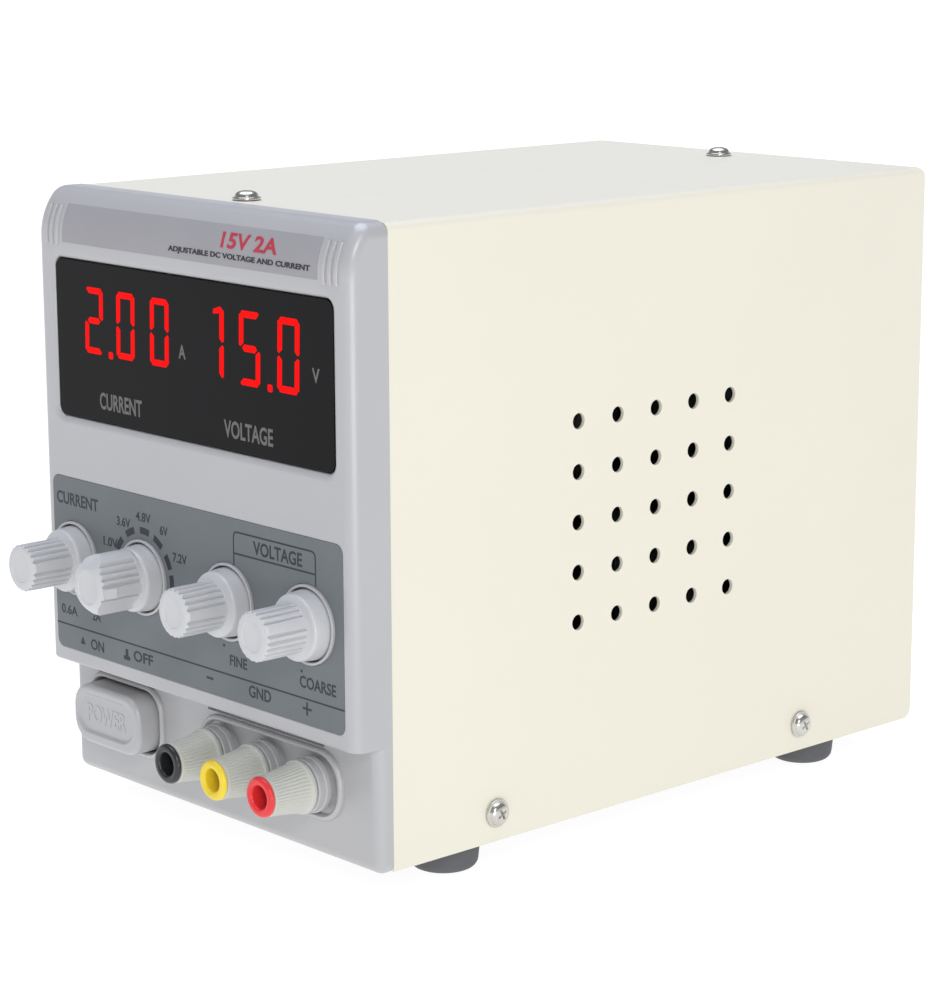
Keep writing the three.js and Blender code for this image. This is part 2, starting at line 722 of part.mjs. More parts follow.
// ---------------------------------------------------------------- rear
function rearPanel() {
  const { front, back, halfX, low, high, flange } = REAR_PANEL;
  const before = front - 1;
  const behind = back + 1;
  return cut(
    join(block(-halfX, halfX, front, back, low, high), block(-30, 30, flange, back, high - SHEET, high)),
    block(INLET.x - INLET.halfX - 0.4, INLET.x + INLET.halfX + 0.4, before, behind,
      INLET.z - INLET.halfZ - 0.4, INLET.z + INLET.halfZ + 0.4),
    rod(FUSE.radius + GAP, before, behind, FUSE.x, FUSE.z, 20),
    block(SELECTOR.x - 11.4, SELECTOR.x + 11.4, before, behind, SELECTOR.z - 6.4, SELECTOR.z + 6.4),
    ...screwHolesZ(),
  );
}

function heatsink() {
  const { halfX, low, high, base, finBack, fins, finPitch } = HEATSINK;
  const face = OUTER_FACE + base;
  const ribs = [];
  for (const side of [-1, 1]) {
    for (let i = 0; i < fins; i++) {
      const x = side * (halfX - 0.9 - i * finPitch);
      ribs.push(block(x - 0.9, x + 0.9, face - 1, finBack, low, high));
    }
  }
  return join(block(-halfX, halfX, OUTER_FACE, face, low, high), ...ribs);
}

function powerTransistor() {
  const seat = OUTER_FACE + HEATSINK.base + GAP;
  const z = (HEATSINK.low + HEATSINK.high) / 2;
  const flange = new THREE.Shape();
  flange.absellipse(0, z, 10.5, 18, 0, 2 * Math.PI);
  return join(
    frontSlab(flange, seat, seat + 1.6, 8),
    turned([[0, seat + 1], [10, seat + 1], [10, seat + 7], [9, seat + 8], [0, seat + 8]], 0, z, 24),
  );
}

function mainsInlet() {
  const { x, z, halfX, halfZ, depth } = INLET;
  const face = OUTER_FACE + 2.4;
  const flange = frontSlab(centredRect(x, z, 24, 11.5, 5), OUTER_FACE, face);
  const body = block(x - halfX, x + halfX, face - depth - 3, OUTER_FACE + 1, z - halfZ, z + halfZ);
  const cavity = new THREE.Shape();
  const right = x + halfX - 1.8;
  const left = x - halfX + 1.8;
  const bottom = z - halfZ + 1.8;
  const top = z + halfZ - 1.8;
  const chamfer = 4;
  cavity.moveTo(left, bottom);
  cavity.lineTo(right, bottom);
  cavity.lineTo(right, top - chamfer);
  cavity.lineTo(right - chamfer, top);
  cavity.lineTo(left + chamfer, top);
  cavity.lineTo(left, top - chamfer);
  const floor = face - depth;
  const blades = [[-7, -1.5], [0, 2], [7, -1.5]].map(([dx, dz]) => block(
    x + dx - 1, x + dx + 1, floor - 1, face - 4, z + dz - 2, z + dz + 2));
  return join(cut(join(flange, body), frontSlab(cavity, floor, face + 1)), ...blades);
}

function fuseHolder() {
  const bore = 4.5;
  return turned([
    [0, 176],
    [FUSE.radius, 176],
    [FUSE.radius, OUTER_FACE],
    [9, OUTER_FACE],
    [9, OUTER_FACE + 1.6],
    [bore, OUTER_FACE + 1.6],
    [bore, 180],
    [0, 180],
  ], FUSE.x, FUSE.z, 20);
}

function fuseCap() {
  const seat = OUTER_FACE + 1.6 + GAP;
  const head = turned([
    [0, 182],
    [4.2, 182],
    [4.2, seat],
    [FUSE.cap, seat],
    [FUSE.cap - 0.5, seat + 6],
    [0, seat + 6],
  ], FUSE.x, FUSE.z, 20);
  return cut(head, block(FUSE.x - 4, FUSE.x + 4, seat + 4.8, seat + 7, FUSE.z - 0.7, FUSE.z + 0.7));
}

function voltageSelector() {
  const { x, z, travel } = SELECTOR;
  const face = OUTER_FACE + 1.2;
  return cut(
    join(
      frontSlab(centredRect(x, z, 15, 7.5, 1.5), OUTER_FACE, face),
      block(x - 11, x + 11, 194, OUTER_FACE + 1, z - 6, z + 6),
    ),
    block(x - 3.5 - travel / 2, x + 3.5 + travel / 2, 202, face + 1, z - 2.5, z + 2.5),
  );
}

function selectorSlider() {
  const { x, z, travel } = SELECTOR;
  return block(x - travel / 2 - 3, x - travel / 2 + 3, 202 + GAP, OUTER_FACE + 2.4, z - 2, z + 2);
}

// ---------------------------------------------------------------- assembly
function addCase() {
  place('front_bezel', bezel(), 'bezel');
  place('front_plate', frontPlate(), 'sheet');
  place('display_window', displayWindow(), 'window');
  place('name_plate', namePlate(), 'plate');
  place('control_label', controlLabel(), 'label');
  place('top_cover', coverSheet(), 'cover');
  place('bottom_tray', tray(), 'sheet');
  place('rear_panel', rearPanel(), 'sheet');
  place('cover_screw_top_front', topScrew(TOP_SCREW_Y[0]), 'steel');
  place('cover_screw_top_rear', topScrew(TOP_SCREW_Y[1]), 'steel');
  for (const [side, sideName] of [[1, 'right'], [-1, 'left']]) {
    for (const [i, endName] of ['front', 'rear'].entries()) {
      place(`cover_screw_${sideName}_${endName}`, sideScrew(side, SIDE_SCREW_Y[i]), 'steel');
      place(`foot_${sideName}_${endName}`, foot(side * FOOT.x, FOOT_Y[i]), 'rubber');
    }
  }
}

function addControls() {
  for (const [name, x] of Object.entries(KNOB_X)) {
    const selector = name === 'selector';
    place(`${name}_knob`, knob(x, selector), 'knob');
    place(`${name}_shaft`, shaft(x), 'brass');
    const body = selector ? shaftControl(x, 12, 12) : shaftControl(x, 8.4, 9);
    place(selector ? 'selector_rotary_switch' : `${name}_potentiometer`, body, 'aluminium');
  }
  place('power_button', powerButton(), 'bezel');
  place('power_switch', powerSwitch(), 'black');
}

function addPosts() {
  const colours = { negative: 'black', ground: 'yellow', positive: 'red' };
  for (const [name, x] of Object.entries(POST_X)) {
    place(`${name}_post_stud`, stud(x), 'brass');
    place(`${name}_post_base`, postBase(x), 'bezel');
    place(`${name}_post_nut`, thumbNut(x), 'nut');
    place(`${name}_post_end_ring`, endRing(x), colours[name]);
  }
}

function addInside() {
  place('display_board', displayBoard(), 'board');
  place('current_digits', digitModule(-26), 'led');
  place('voltage_digits', digitModule(29), 'led');
  place('transformer_core', transformerCore(), 'laminate');
  place('transformer_winding', transformerWinding(), 'tape');
  place('transformer_bracket', transformerBracket(), 'sheet');
  place('main_board', mainBoard(), 'board');
  place('filter_capacitor', capacitor(40, 60, 12.5, 40), 'sleeve');
  place('bridge_rectifier', bridgeRectifier(), 'black');
}

function addRear() {
  place('heatsink', heatsink(), 'aluminium');
  place('power_transistor', powerTransistor(), 'steel');
  place('mains_inlet', mainsInlet(), 'black');
  place('fuse_holder', fuseHolder(), 'black');
  place('fuse_cap', fuseCap(), 'black');
  place('voltage_selector', voltageSelector(), 'black');
  place('selector_slider', selectorSlider(), 'red');
}

addCase();
addControls();
addPosts();
addInside();
addRear();

// The finished frame: origin under the middle of the model, on the surface the feet stand on.
model.position.set(0, -(KNOB.front + HEATSINK.finBack) / 2, FOOT.height);
model.updateMatrixWorld(true);

export default model;
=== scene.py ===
"""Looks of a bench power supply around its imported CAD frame.

Shapes are modelled in millimetres in the part's own layout (Y = 0 on the front face of the
bezel's upper block, Z = 0 on the bottom edge of the case) and moved into the frame in piece().
"""

import json
import math

import bmesh
import bpy
from mathutils import Matrix, Vector


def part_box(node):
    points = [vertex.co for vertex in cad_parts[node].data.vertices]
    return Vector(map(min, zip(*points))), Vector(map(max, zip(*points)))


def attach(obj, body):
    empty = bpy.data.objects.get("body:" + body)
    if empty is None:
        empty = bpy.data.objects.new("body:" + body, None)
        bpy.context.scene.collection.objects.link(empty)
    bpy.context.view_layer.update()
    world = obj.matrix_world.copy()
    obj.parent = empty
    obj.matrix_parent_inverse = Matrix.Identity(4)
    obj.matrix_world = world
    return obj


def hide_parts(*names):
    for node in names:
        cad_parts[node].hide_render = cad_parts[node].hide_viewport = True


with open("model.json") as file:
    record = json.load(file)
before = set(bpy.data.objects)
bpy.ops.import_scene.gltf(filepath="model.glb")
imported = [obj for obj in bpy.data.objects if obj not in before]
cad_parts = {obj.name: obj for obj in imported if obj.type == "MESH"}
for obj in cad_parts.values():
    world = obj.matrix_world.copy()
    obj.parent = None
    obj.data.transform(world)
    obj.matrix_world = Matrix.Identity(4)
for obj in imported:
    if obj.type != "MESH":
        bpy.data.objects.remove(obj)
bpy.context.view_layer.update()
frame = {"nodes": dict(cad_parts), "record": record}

# ---------------------------------------------------------------- layout
# Lengths are in millimetres. A place on the front is (centre x, centre z, half width, half height).
MM = 0.001
BEZEL_DEPTH = 12.0
ORIGIN = Vector((0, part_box("front_bezel")[1].y - BEZEL_DEPTH * MM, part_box("top_cover")[0].z))
TO_FRAME = Matrix.Translation(ORIGIN) @ Matrix.Scale(MM, 4)

BEZEL_HALF = 64.3
BEZEL_TOP = 161.0
BEZEL_BOTTOM = -0.5
BEZEL_WALL = 2.5

# The upper block ends in a lip at STEP_Z. The lower block's face lies STEP_BACK behind the
# upper one's.
STEP_Z = 32.4
STEP_BACK = 7.5
LIP_EDGE = 0.9
FRONT_EDGE = 3.0
TOP_EDGE = 4.2
BOTTOM_EDGE = 3.2

# Above ROLL_Z the front rolls back over ROLL_RADIUS, then over CREST_RADIUS to the flat top.
ROLL_Z = 148.0
ROLL_RADIUS = 17.5
ROLL_END = math.asin(11.5 / ROLL_RADIUS)
CREST_RADIUS = 4.37

# The name plate and the ribs lie on the roll, between two of its angles. The plate's front and
# back are distances from the roll's axis.
PLATE_HALF = 52.6
PLATE_ANGLES = (-0.05, 0.54)
PLATE_RADIUS = ROLL_RADIUS + 0.1
PLATE_BACK = 16.9
RIB_ANGLES = (-0.10, 0.50)

WINDOW = (0.0, 121.7, 57.2, 20.9)
WINDOW_FRONT = 0.8
LABEL = (0.0, 60.2, 60.6, 23.8)
LABEL_FRONT = -0.1
PANE_CORNER = 2.5
BUTTON = (-39.8, 19.4, 15.0, 8.2)
BUTTON_CORNER = 5.4
WELL = (22.0, 18.8, 29.0, 9.4)
WELL_CORNER = 8.5
KNOBS = ("current", "selector", "fine", "coarse")
POSTS = ("negative", "ground", "positive")


def middle(node):
    """The centre of a CAD node at rest, in the layout's millimetres."""
    low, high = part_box(node)
    return ((low + high) / 2 - ORIGIN) / MM


KNOB_AT = {name: middle(name + "_knob") for name in KNOBS}
POST_AT = {name: middle(name + "_post_base") for name in POSTS}


# ---------------------------------------------------------------- outlines
def soft(corners, steps=4):
    """A closed outline from (a, b, radius) corners, each rounded by its radius."""
    points = []
    for i, (a, b, radius) in enumerate(corners):
        here = Vector((a, b))
        if radius == 0:
            points.append((a, b))
            continue
        to_last = (Vector(corners[i - 1][:2]) - here).normalized()
        to_next = (Vector(corners[(i + 1) % len(corners)][:2]) - here).normalized()
        half = to_last.angle(to_next) / 2
        centre = here + (to_last + to_next).normalized() * radius / math.sin(half)
        first = here + to_last * radius / math.tan(half) - centre
        last = here + to_next * radius / math.tan(half) - centre
        start = math.atan2(first.y, first.x)
        sweep = (math.atan2(last.y, last.x) - start + math.pi) % (2 * math.pi) - math.pi
        for k in range(steps + 1):
            angle = start + sweep * k / steps
            points.append((
                centre.x + radius * math.cos(angle), centre.y + radius * math.sin(angle),
            ))
    return points


def rect(cx, cz, half_x, half_z, corner, steps=7):
    """A rectangle with round corners, as (x, z) points."""
    points = []
    for side_x, side_z, start in ((1, 1, 0), (-1, 1, 90), (-1, -1, 180), (1, -1, 270)):
        for k in range(steps + 1):
            angle = math.radians(start + 90 * k / steps)
            points.append((
                cx + side_x * (half_x - corner) + corner * math.cos(angle),
                cz + side_z * (half_z - corner) + corner * math.sin(angle),
            ))
    return points


def eased(value, low, high):
    """0 below low, 1 above high, and a smooth step between them."""
    t = min(max((value - low) / (high - low), 0.0), 1.0)
    return t * t * (3 - 2 * t)


# ---------------------------------------------------------------- meshes
def closed_mesh(points, faces):
    shape = bmesh.new()
    vertices = [shape.verts.new(p) for p in points]
    for face in faces:
        shape.faces.new([vertices[i] for i in face])
    bmesh.ops.recalc_face_normals(shape, faces=shape.faces)
    mesh = bpy.data.meshes.new("shape")
    shape.to_mesh(mesh)
    shape.free()
    return mesh


def loft(rings, loop=False):
    """A closed body through rings of one size. A ring of one point is a tip."""
    points, starts, faces = [], [], []
    for ring in rings:
        starts.append(len(points))
        points.extend(ring)
    pairs = list(zip(range(len(rings) - 1), range(1, len(rings))))
    if loop:
        pairs.append((len(rings) - 1, 0))
    for a, b in pairs:
        count = max(len(rings[a]), len(rings[b]))
        for i in range(count):
            j = (i + 1) % count
            if len(rings[a]) == 1:
                faces.append((starts[a], starts[b] + i, starts[b] + j))
            elif len(rings[b]) == 1:
                faces.append((starts[a] + j, starts[a] + i, starts[b]))
            else:
                faces.append((starts[a] + i, starts[b] + i, starts[b] + j, starts[a] + j))
    if not loop:
        for k in (0, len(rings) - 1):
            if len(rings[k]) > 1:
                faces.append([starts[k] + i for i in range(len(rings[k]))])
    return closed_mesh(points, faces)


def prism(outline, y0, y1):
    """An (x, z) outline filling Y from y0 to y1."""
    return loft([[(x, y, z) for x, z in outline] for y in (y0, y1)])


def side_prism(outline, x0, x1):
    """A (y, z) outline filling X from x0 to x1."""
    return loft([[(x, y, z) for y, z in outline] for x in (x0, x1)])


def block(x0, x1, y0, y1, z0, z1):
    return prism([(x0, z0), (x1, z0), (x1, z1), (x0, z1)], y0, y1)


def slab(place, corner, levels):
    """A rounded rectangle through (y, inset) levels. A negative inset makes it larger."""
    cx, cz, half_x, half_z = place
    rings = []
    for y, inset in levels:
        outline = rect(cx, cz, half_x - inset, half_z - inset, max(corner - inset, 0.02))
        rings.append([(x, y, z) for x, z in outline])
    return loft(rings)


def crowned(front, radius, back, steps=5):
    """Levels of a slab whose front edge is rounded."""
    levels = []
    for k in range(steps + 1):
        angle = math.pi / 2 * k / steps
        levels.append((front + radius * (1 - math.cos(angle)), radius * (1 - math.sin(angle))))
    return levels + [(back, 0.0)]


def spin(profile, at, axis="y", segments=64, loop=False, shape=None):
    """A body of revolution from (radius, along) points.

    shape(angle, radius, along), if given, changes the radius of a point.
    """
    def placed(u, v, w):
        u, v, w = {"x": (w, u, v), "y": (u, w, v), "z": (u, v, w)}[axis]
        return (at[0] + u, at[1] + v, at[2] + w)

    rings = []
    for radius, along in profile:
        if radius == 0:
            rings.append([placed(0, 0, along)])
            continue
        ring = []
        for k in range(segments):
            angle = 2 * math.pi * k / segments
            r = shape(angle, radius, along) if shape else radius
            ring.append(placed(r * math.cos(angle), r * math.sin(angle), along))
        rings.append(ring)
    return loft(rings, loop)


def combined(mesh, tools, operation):
    subject = bpy.data.objects.new("subject", mesh)
    bpy.context.scene.collection.objects.link(subject)
    helpers = [subject]
    for tool in tools:
        helper = bpy.data.objects.new("tool", tool)
        bpy.context.scene.collection.objects.link(helper)
        helpers.append(helper)
        modifier = subject.modifiers.new("boolean", "BOOLEAN")
        modifier.operation = operation
        modifier.solver = "MANIFOLD"
        modifier.object = helper
    graph = bpy.context.evaluated_depsgraph_get()
    result = bpy.data.meshes.new_from_object(subject.evaluated_get(graph))
    for helper in helpers:
        bpy.data.objects.remove(helper)
    return result


def cut(mesh, *tools):
    return combined(mesh, tools, "DIFFERENCE")


def join(mesh, *tools):
    return combined(mesh, tools, "UNION")


def common(mesh, *tools):
    return combined(mesh, tools, "INTERSECT")


def gathered(meshes):
    """One mesh that holds several bodies that don't touch."""
    shape = bmesh.new()
    for mesh in meshes:
        shape.from_mesh(mesh)
    mesh = bpy.data.meshes.new("shape")
    shape.to_mesh(mesh)
    shape.free()
    return mesh


def moved(mesh, change):
    """The mesh with each vertex put through change(x, y, z)."""
    for vertex in mesh.vertices:
        vertex.co = change(*vertex.co)
    return mesh


def drill(radius, start, end):
    """The profile of a plain cylinder, for spin()."""
    return [(0, start), (radius, start), (radius, end), (0, end)]


# ---------------------------------------------------------------- finishes
ROUGHNESS_WANDER = 0.06


def srgb(red, green, blue):
    linear = []
    for value in (red, green, blue):
        value /= 255
        linear.append(value / 12.92 if value <= 0.04045 else ((value + 0.055) / 1.055) ** 2.4)
    return tuple(linear)


def finish(name, colour, roughness, tint=0.03, patch=45, grain=1800, bump=0.02, metal=0.0,
           specular=0.5, stretch=(1, 1, 1)):
    """A material whose colour, roughness and surface vary by noise in the object's own space.

    tint is how much the colour varies and patch the noise scale it varies by. grain is the noise
    scale of the fine relief, and bump its height in millimetres.
    """
    material = bpy.data.materials.new(name)
    material.use_nodes = True
    nodes, links = material.node_tree.nodes, material.node_tree.links
    shader = nodes["Principled BSDF"]
    shader.inputs["Metallic"].default_value = metal
    shader.inputs["Specular IOR Level"].default_value = specular
    place = nodes.new("ShaderNodeTexCoord")
    mapping = nodes.new("ShaderNodeMapping")
    mapping.inputs["Scale"].default_value = stretch
    links.new(place.outputs["Object"], mapping.inputs["Vector"])

    def noise(scale, detail):
        node = nodes.new("ShaderNodeTexNoise")
        node.inputs["Scale"].default_value = scale
        node.inputs["Detail"].default_value = detail
        links.new(mapping.outputs["Vector"], node.inputs["Vector"])
        return node.outputs["Fac"]

    ramp = nodes.new("ShaderNodeValToRGB")
    for element, side, at in zip(ramp.color_ramp.elements, (-1, 1), (0.3, 0.7)):
        element.position = at
        element.color = tuple(min(c * (1 + side * tint), 1.0) for c in colour) + (1.0,)
    links.new(noise(patch, 3), ramp.inputs["Fac"])
    links.new(ramp.outputs["Color"], shader.inputs["Base Color"])
    spread = nodes.new("ShaderNodeMapRange")
    spread.inputs["To Min"].default_value = max(roughness - ROUGHNESS_WANDER, 0.02)
    spread.inputs["To Max"].default_value = roughness + ROUGHNESS_WANDER
    links.new(noise(patch * 6, 2), spread.inputs["Value"])
    links.new(spread.outputs["Result"], shader.inputs["Roughness"])
    relief = nodes.new("ShaderNodeBump")
    relief.inputs["Strength"].default_value = 0.5
    relief.inputs["Distance"].default_value = bump * MM
    links.new(noise(grain, 3), relief.inputs["Height"])
    links.new(relief.outputs["Normal"], shader.inputs["Normal"])
    return material


def shine(material, colour, strength):
    shader = material.node_tree.nodes["Principled BSDF"]
    shader.inputs["Emission Color"].default_value = colour + (1.0,)
    shader.inputs["Emission Strength"].default_value = strength


def lit(name, colour, strength):
    """A dark, nearly matt finish that shines in its own colour."""
    dark = tuple(0.1 * c for c in colour)
    material = finish(name, dark, 0.4, tint=0.05, bump=0.004, specular=0.03)
    shine(material, colour, strength)
    return material


SURFACES = {
    "bezel": ((177, 177, 179), 0.32, 0.012, 30, 3000, 0.008, {"specular": 1.0}),
    "galvanised_sheet": ((150, 152, 154), 0.38, 0.18, 160, 900, 0.01, {"metal": 0.9}),
    "display_window": ((25, 25, 26), 0.16, 0.06, 40, 400, 0.002, {"specular": 0.07}),
    "name_plate": ((156, 155, 159), 0.55, 0.02, 60, 2600, 0.006, {}),
    "control_label": ((107, 113, 116), 0.55, 0.02, 50, 2600, 0.006, {}),
    "cover_paint": ((232, 228, 212), 0.5, 0.008, 18, 1300, 0.03, {}),
    "screw_steel": ((206, 204, 198), 0.26, 0.06, 300, 2500, 0.01, {"metal": 1.0}),
    "foot_rubber": ((90, 91, 94), 0.7, 0.05, 120, 1500, 0.05, {}),
    "knob": ((198, 199, 201), 0.38, 0.012, 80, 3000, 0.008, {"specular": 0.7}),
    "brass": ((214, 178, 98), 0.3, 0.06, 200, 2000, 0.01, {"metal": 1.0}),
    "control_metal": ((168, 170, 172), 0.4, 0.08, 200, 1500, 0.02, {"metal": 0.9}),
    "black_plastic": ((34, 34, 36), 0.42, 0.10, 90, 2400, 0.02, {}),
    "post_nut": ((196, 197, 189), 0.5, 0.02, 120, 3000, 0.012, {}),
    "ring_black": ((42, 43, 46), 0.3, 0.10, 150, 2000, 0.01, {}),
    "ring_yellow": ((236, 208, 50), 0.3, 0.04, 150, 2000, 0.01, {}),
    "ring_red": ((228, 52, 56), 0.3, 0.05, 150, 2000, 0.01, {}),
    "circuit_board": ((38, 104, 58), 0.45, 0.25, 500, 1200, 0.03, {}),
    "digit_module": ((58, 58, 60), 0.55, 0.10, 200, 2000, 0.02, {}),
    "laminations": ((74, 68, 64), 0.5, 0.3, 60, 300, 0.12, {"metal": 0.6, "stretch": (1, 12, 1)}),
    "winding_tape": ((212, 170, 66), 0.35, 0.10, 90, 700, 0.05, {"stretch": (1, 1, 5)}),
    "capacitor_sleeve": ((34, 48, 84), 0.3, 0.10, 90, 900, 0.02, {}),
    "heatsink_metal": ((52, 52, 54), 0.4, 0.12, 110, 900, 0.02,
                       {"metal": 0.6, "stretch": (1, 1, 0.08)}),
    "transistor_steel": ((196, 196, 194), 0.32, 0.06, 200, 1800, 0.02, {"metal": 1.0}),
    "selector_red": ((206, 44, 40), 0.35, 0.05, 200, 2000, 0.01, {}),
    "ink_dark": ((46, 48, 52), 0.6, 0.08, 300, 2500, 0.004, {}),
    "ink_light": ((98, 98, 97), 0.5, 0.06, 300, 2500, 0.004, {}),
    "ink_red": ((182, 48, 70), 0.55, 0.06, 300, 2500, 0.004, {}),
}
FINISH = {
    name: finish(name, srgb(*colour), *numbers, **settings)
    for name, (colour, *numbers, settings) in SURFACES.items()
}
FINISH["digit_red"] = lit("digit_red", srgb(255, 10, 8), 1.0)


def piece(name, mesh, slot, body, *nodes, crease=35):
    """A shown piece in a slot's finish, riding on a body and standing for the named CAD nodes."""
    mesh.transform(TO_FRAME)
    mesh.name = name
    mesh.materials.clear()
    mesh.materials.append(FINISH[slot])
    mesh.shade_smooth()
    mesh.set_sharp_from_angle(angle=math.radians(crease))
    shown = bpy.data.objects.new(name, mesh)
    bpy.context.scene.collection.objects.link(shown)
    weigh = shown.modifiers.new("weighted", "WEIGHTED_NORMAL")
    weigh.mode = "FACE_AREA_WITH_ANGLE"
    weigh.keep_sharp = True
    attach(shown, body)
    if nodes:
        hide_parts(*nodes)
    return shown


# ---------------------------------------------------------------- lettering
INK = 0.06
LETTER_WEIGHT = 0.022


def lettering(text, cx, cz, width, height, y, depth=INK):
    """Closed thin letters facing -Y, fitted to a width and height about (cx, cz)."""
    curve = bpy.data.curves.new("lettering", "FONT")
    curve.body = text
    curve.extrude = 0.5
    curve.offset = LETTER_WEIGHT
    curve.resolution_u = 4
    holder = bpy.data.objects.new("lettering", curve)
    bpy.context.scene.collection.objects.link(holder)
    graph = bpy.context.evaluated_depsgraph_get()
    mesh = bpy.data.meshes.new_from_object(holder.evaluated_get(graph))
    bpy.data.objects.remove(holder)
    shape = bmesh.new()
    shape.from_mesh(mesh)
    bmesh.ops.remove_doubles(shape, verts=shape.verts, dist=1e-5)
    low = [min(v.co[i] for v in shape.verts) for i in range(3)]
    high = [max(v.co[i] for v in shape.verts) for i in range(3)]
    for v in shape.verts:
        u, w, t = ((v.co[i] - low[i]) / (high[i] - low[i]) for i in range(3))
        v.co = (cx + (u - 0.5) * width, y + (1 - t) * depth, cz + (w - 0.5) * height)
    bmesh.ops.recalc_face_normals(shape, faces=shape.faces)
    shape.to_mesh(mesh)
    shape.free()
    return mesh


def printed(outline, y):
    """An (x, z) outline as a film of ink whose front is at y."""
    return prism(outline, y, y + INK)


def bar(x0, x1, z0, z1, y):
    return block(x0, x1, y, y + INK, z0, z1)


# ---------------------------------------------------------------- bezel
# The rims round the button and the post well: their front, the rounding of their edge, and how
# far the button's rim stands outside the button.
RIM_FRONT, RIM_EDGE, COLLAR_WIDTH = 6.2, 0.9, 1.9

# Ribs on each side of the name plate. Foot and top are distances from the roll's axis.
RIBS, RIB_FIRST_X, RIB_PITCH, RIB_HALF = 3, 54.95, 2.3, 0.65
RIB_FOOT, RIB_TOP, RIB_EDGE = 16.9, 18.1, 0.5

# The name plate's seat: the gap round the plate, and the distances from the roll's axis that the
# cut lies between.
SEAT_GAP, SEAT_FLOOR, SEAT_TOP = 0.03, 16.5, 18.6

# Blocks cut out of the bezel, as (x0, x1, y0, y1, z0, z1).
INNER, BEHIND = BEZEL_HALF - BEZEL_WALL, BEZEL_DEPTH + 1
HOLLOWS = (
    (-INNER, INNER, 3.5, BEHIND, STEP_Z + 3.3, ROLL_Z + 1),
    (-INNER, INNER, 7.5, BEHIND, ROLL_Z - 1, BEZEL_TOP - 3.5),
    (-INNER, INNER, 10, BEHIND, BEZEL_WALL, STEP_Z + 4),
)
WINDOW_OPENING = (-54, 54, 1, 5, 104, 140)
SHADOW_GROOVES = (
    (-53, -27, 6.9, 9.4, 29.0, 31.4),
    (-4, 43.5, 6.9, 9.4, 28.5, 31.4),
)

# Recesses in the bezel's face, as (y, inset) levels of a slab.
WINDOW_REVEAL = [
    (-0.5, -2.9), (-0.02, -2.4), (0.1, -1.8), (0.35, -1.1), (0.7, -0.6), (1.2, -0.25), (2.9, -0.25),
]
LABEL_SEAT = [(-0.6, -0.3), (-0.02, -0.2), (0.1, -0.03), (0.8, -0.03)]
BUTTON_OPENING = [
    (5.6, -1.3), (6.18, -1.0), (6.35, -0.75), (6.7, -0.55), (7.4, -0.45), (13, -0.45),
]
WELL_RECESS = [(5.8, 0.9), (6.18, 1.1), (6.4, 1.4), (6.8, 1.6), (7.2, 1.7), (7.55, 1.75)]

# Turned cuts and the raised ring round each knob, as (radius, y) points.
POST_HOLE = drill(3.4, 5, 13)
KNOB_RECESS = [(0, -2), (9.7, -2), (9.7, 1.9), (5, 1.9), (5, 5), (0, 5)]
KNOB_RING = soft([(9.35, 1.6, 0), (9.35, -0.9, 0.3), (10.1, -0.9, 0.3), (10.1, 1.6, 0)])


def draw_back(x, radius):
    """How far an edge of that radius has drawn back at x, near the bezel's sides."""
    over = abs(x) - (BEZEL_HALF - radius)
    return radius - math.sqrt(max(radius * radius - over * over, 0.0)) if over > 0 else 0.0


def stations(radius, steps=10):
    """X positions from side to side, close together where the sides round off."""
    ends = [BEZEL_HALF - radius * (1 - math.sin(math.pi / 2 * k / steps)) for k in range(steps + 1)]
    return [-x for x in reversed(ends)] + ends


def upper_ring(x):
    """The upper block's (y, z) section at x, drawn back where the sides round off."""
    front, top = draw_back(x, FRONT_EDGE), draw_back(x, TOP_EDGE)
    ring = [(BEZEL_DEPTH, STEP_Z)]
    for k in range(5):
        angle = -math.pi / 2 * (1 + k / 4)
        ring.append((
            front + LIP_EDGE + LIP_EDGE * math.cos(angle),
            STEP_Z + LIP_EDGE + LIP_EDGE * math.sin(angle),
        ))

    def rolled(centre_y, centre_z, radius, angle):
        r = radius - front - (top - front) * math.sin(angle) ** 2
        return (centre_y - r * math.cos(angle), centre_z + r * math.sin(angle))

    for k in range(19):
        ring.append(rolled(ROLL_RADIUS, ROLL_Z, ROLL_RADIUS, ROLL_END * k / 18))
    span = ROLL_RADIUS - CREST_RADIUS
    crest = (ROLL_RADIUS - span * math.cos(ROLL_END), ROLL_Z + span * math.sin(ROLL_END))
    for k in range(1, 9):
        ring.append(rolled(*crest, CREST_RADIUS, ROLL_END + (math.pi / 2 - ROLL_END) * k / 8))
    ring.append((BEZEL_DEPTH, ring[-1][1]))
    return [(x, y, z) for y, z in ring]


def lower_ring(x):
    """The lower block's (y, z) section at x."""
    back = draw_back(x, FRONT_EDGE)
    inside = STEP_Z + 3
    ring = [(BEZEL_DEPTH, BEZEL_BOTTOM + back)]
    for k in range(9):
        angle = -math.pi / 2 * (1 + k / 8)
        r = BOTTOM_EDGE - back
        ring.append((
            STEP_BACK + BOTTOM_EDGE + r * math.cos(angle),
            BEZEL_BOTTOM + BOTTOM_EDGE + r * math.sin(angle),
        ))
    ring += [(STEP_BACK + back, inside), (BEZEL_DEPTH, inside)]
    return [(x, y, z) for y, z in ring]


def bowed(section, angles, steps=24):
    """An (x, radius) section swept round the bezel's rolled top."""
    rings = []
    for k in range(steps + 1):
        angle = angles[0] + (angles[1] - angles[0]) * k / steps
        rings.append([
            (x, ROLL_RADIUS - r * math.cos(angle), ROLL_Z + r * math.sin(angle)) for x, r in section
        ])
    return loft(rings)


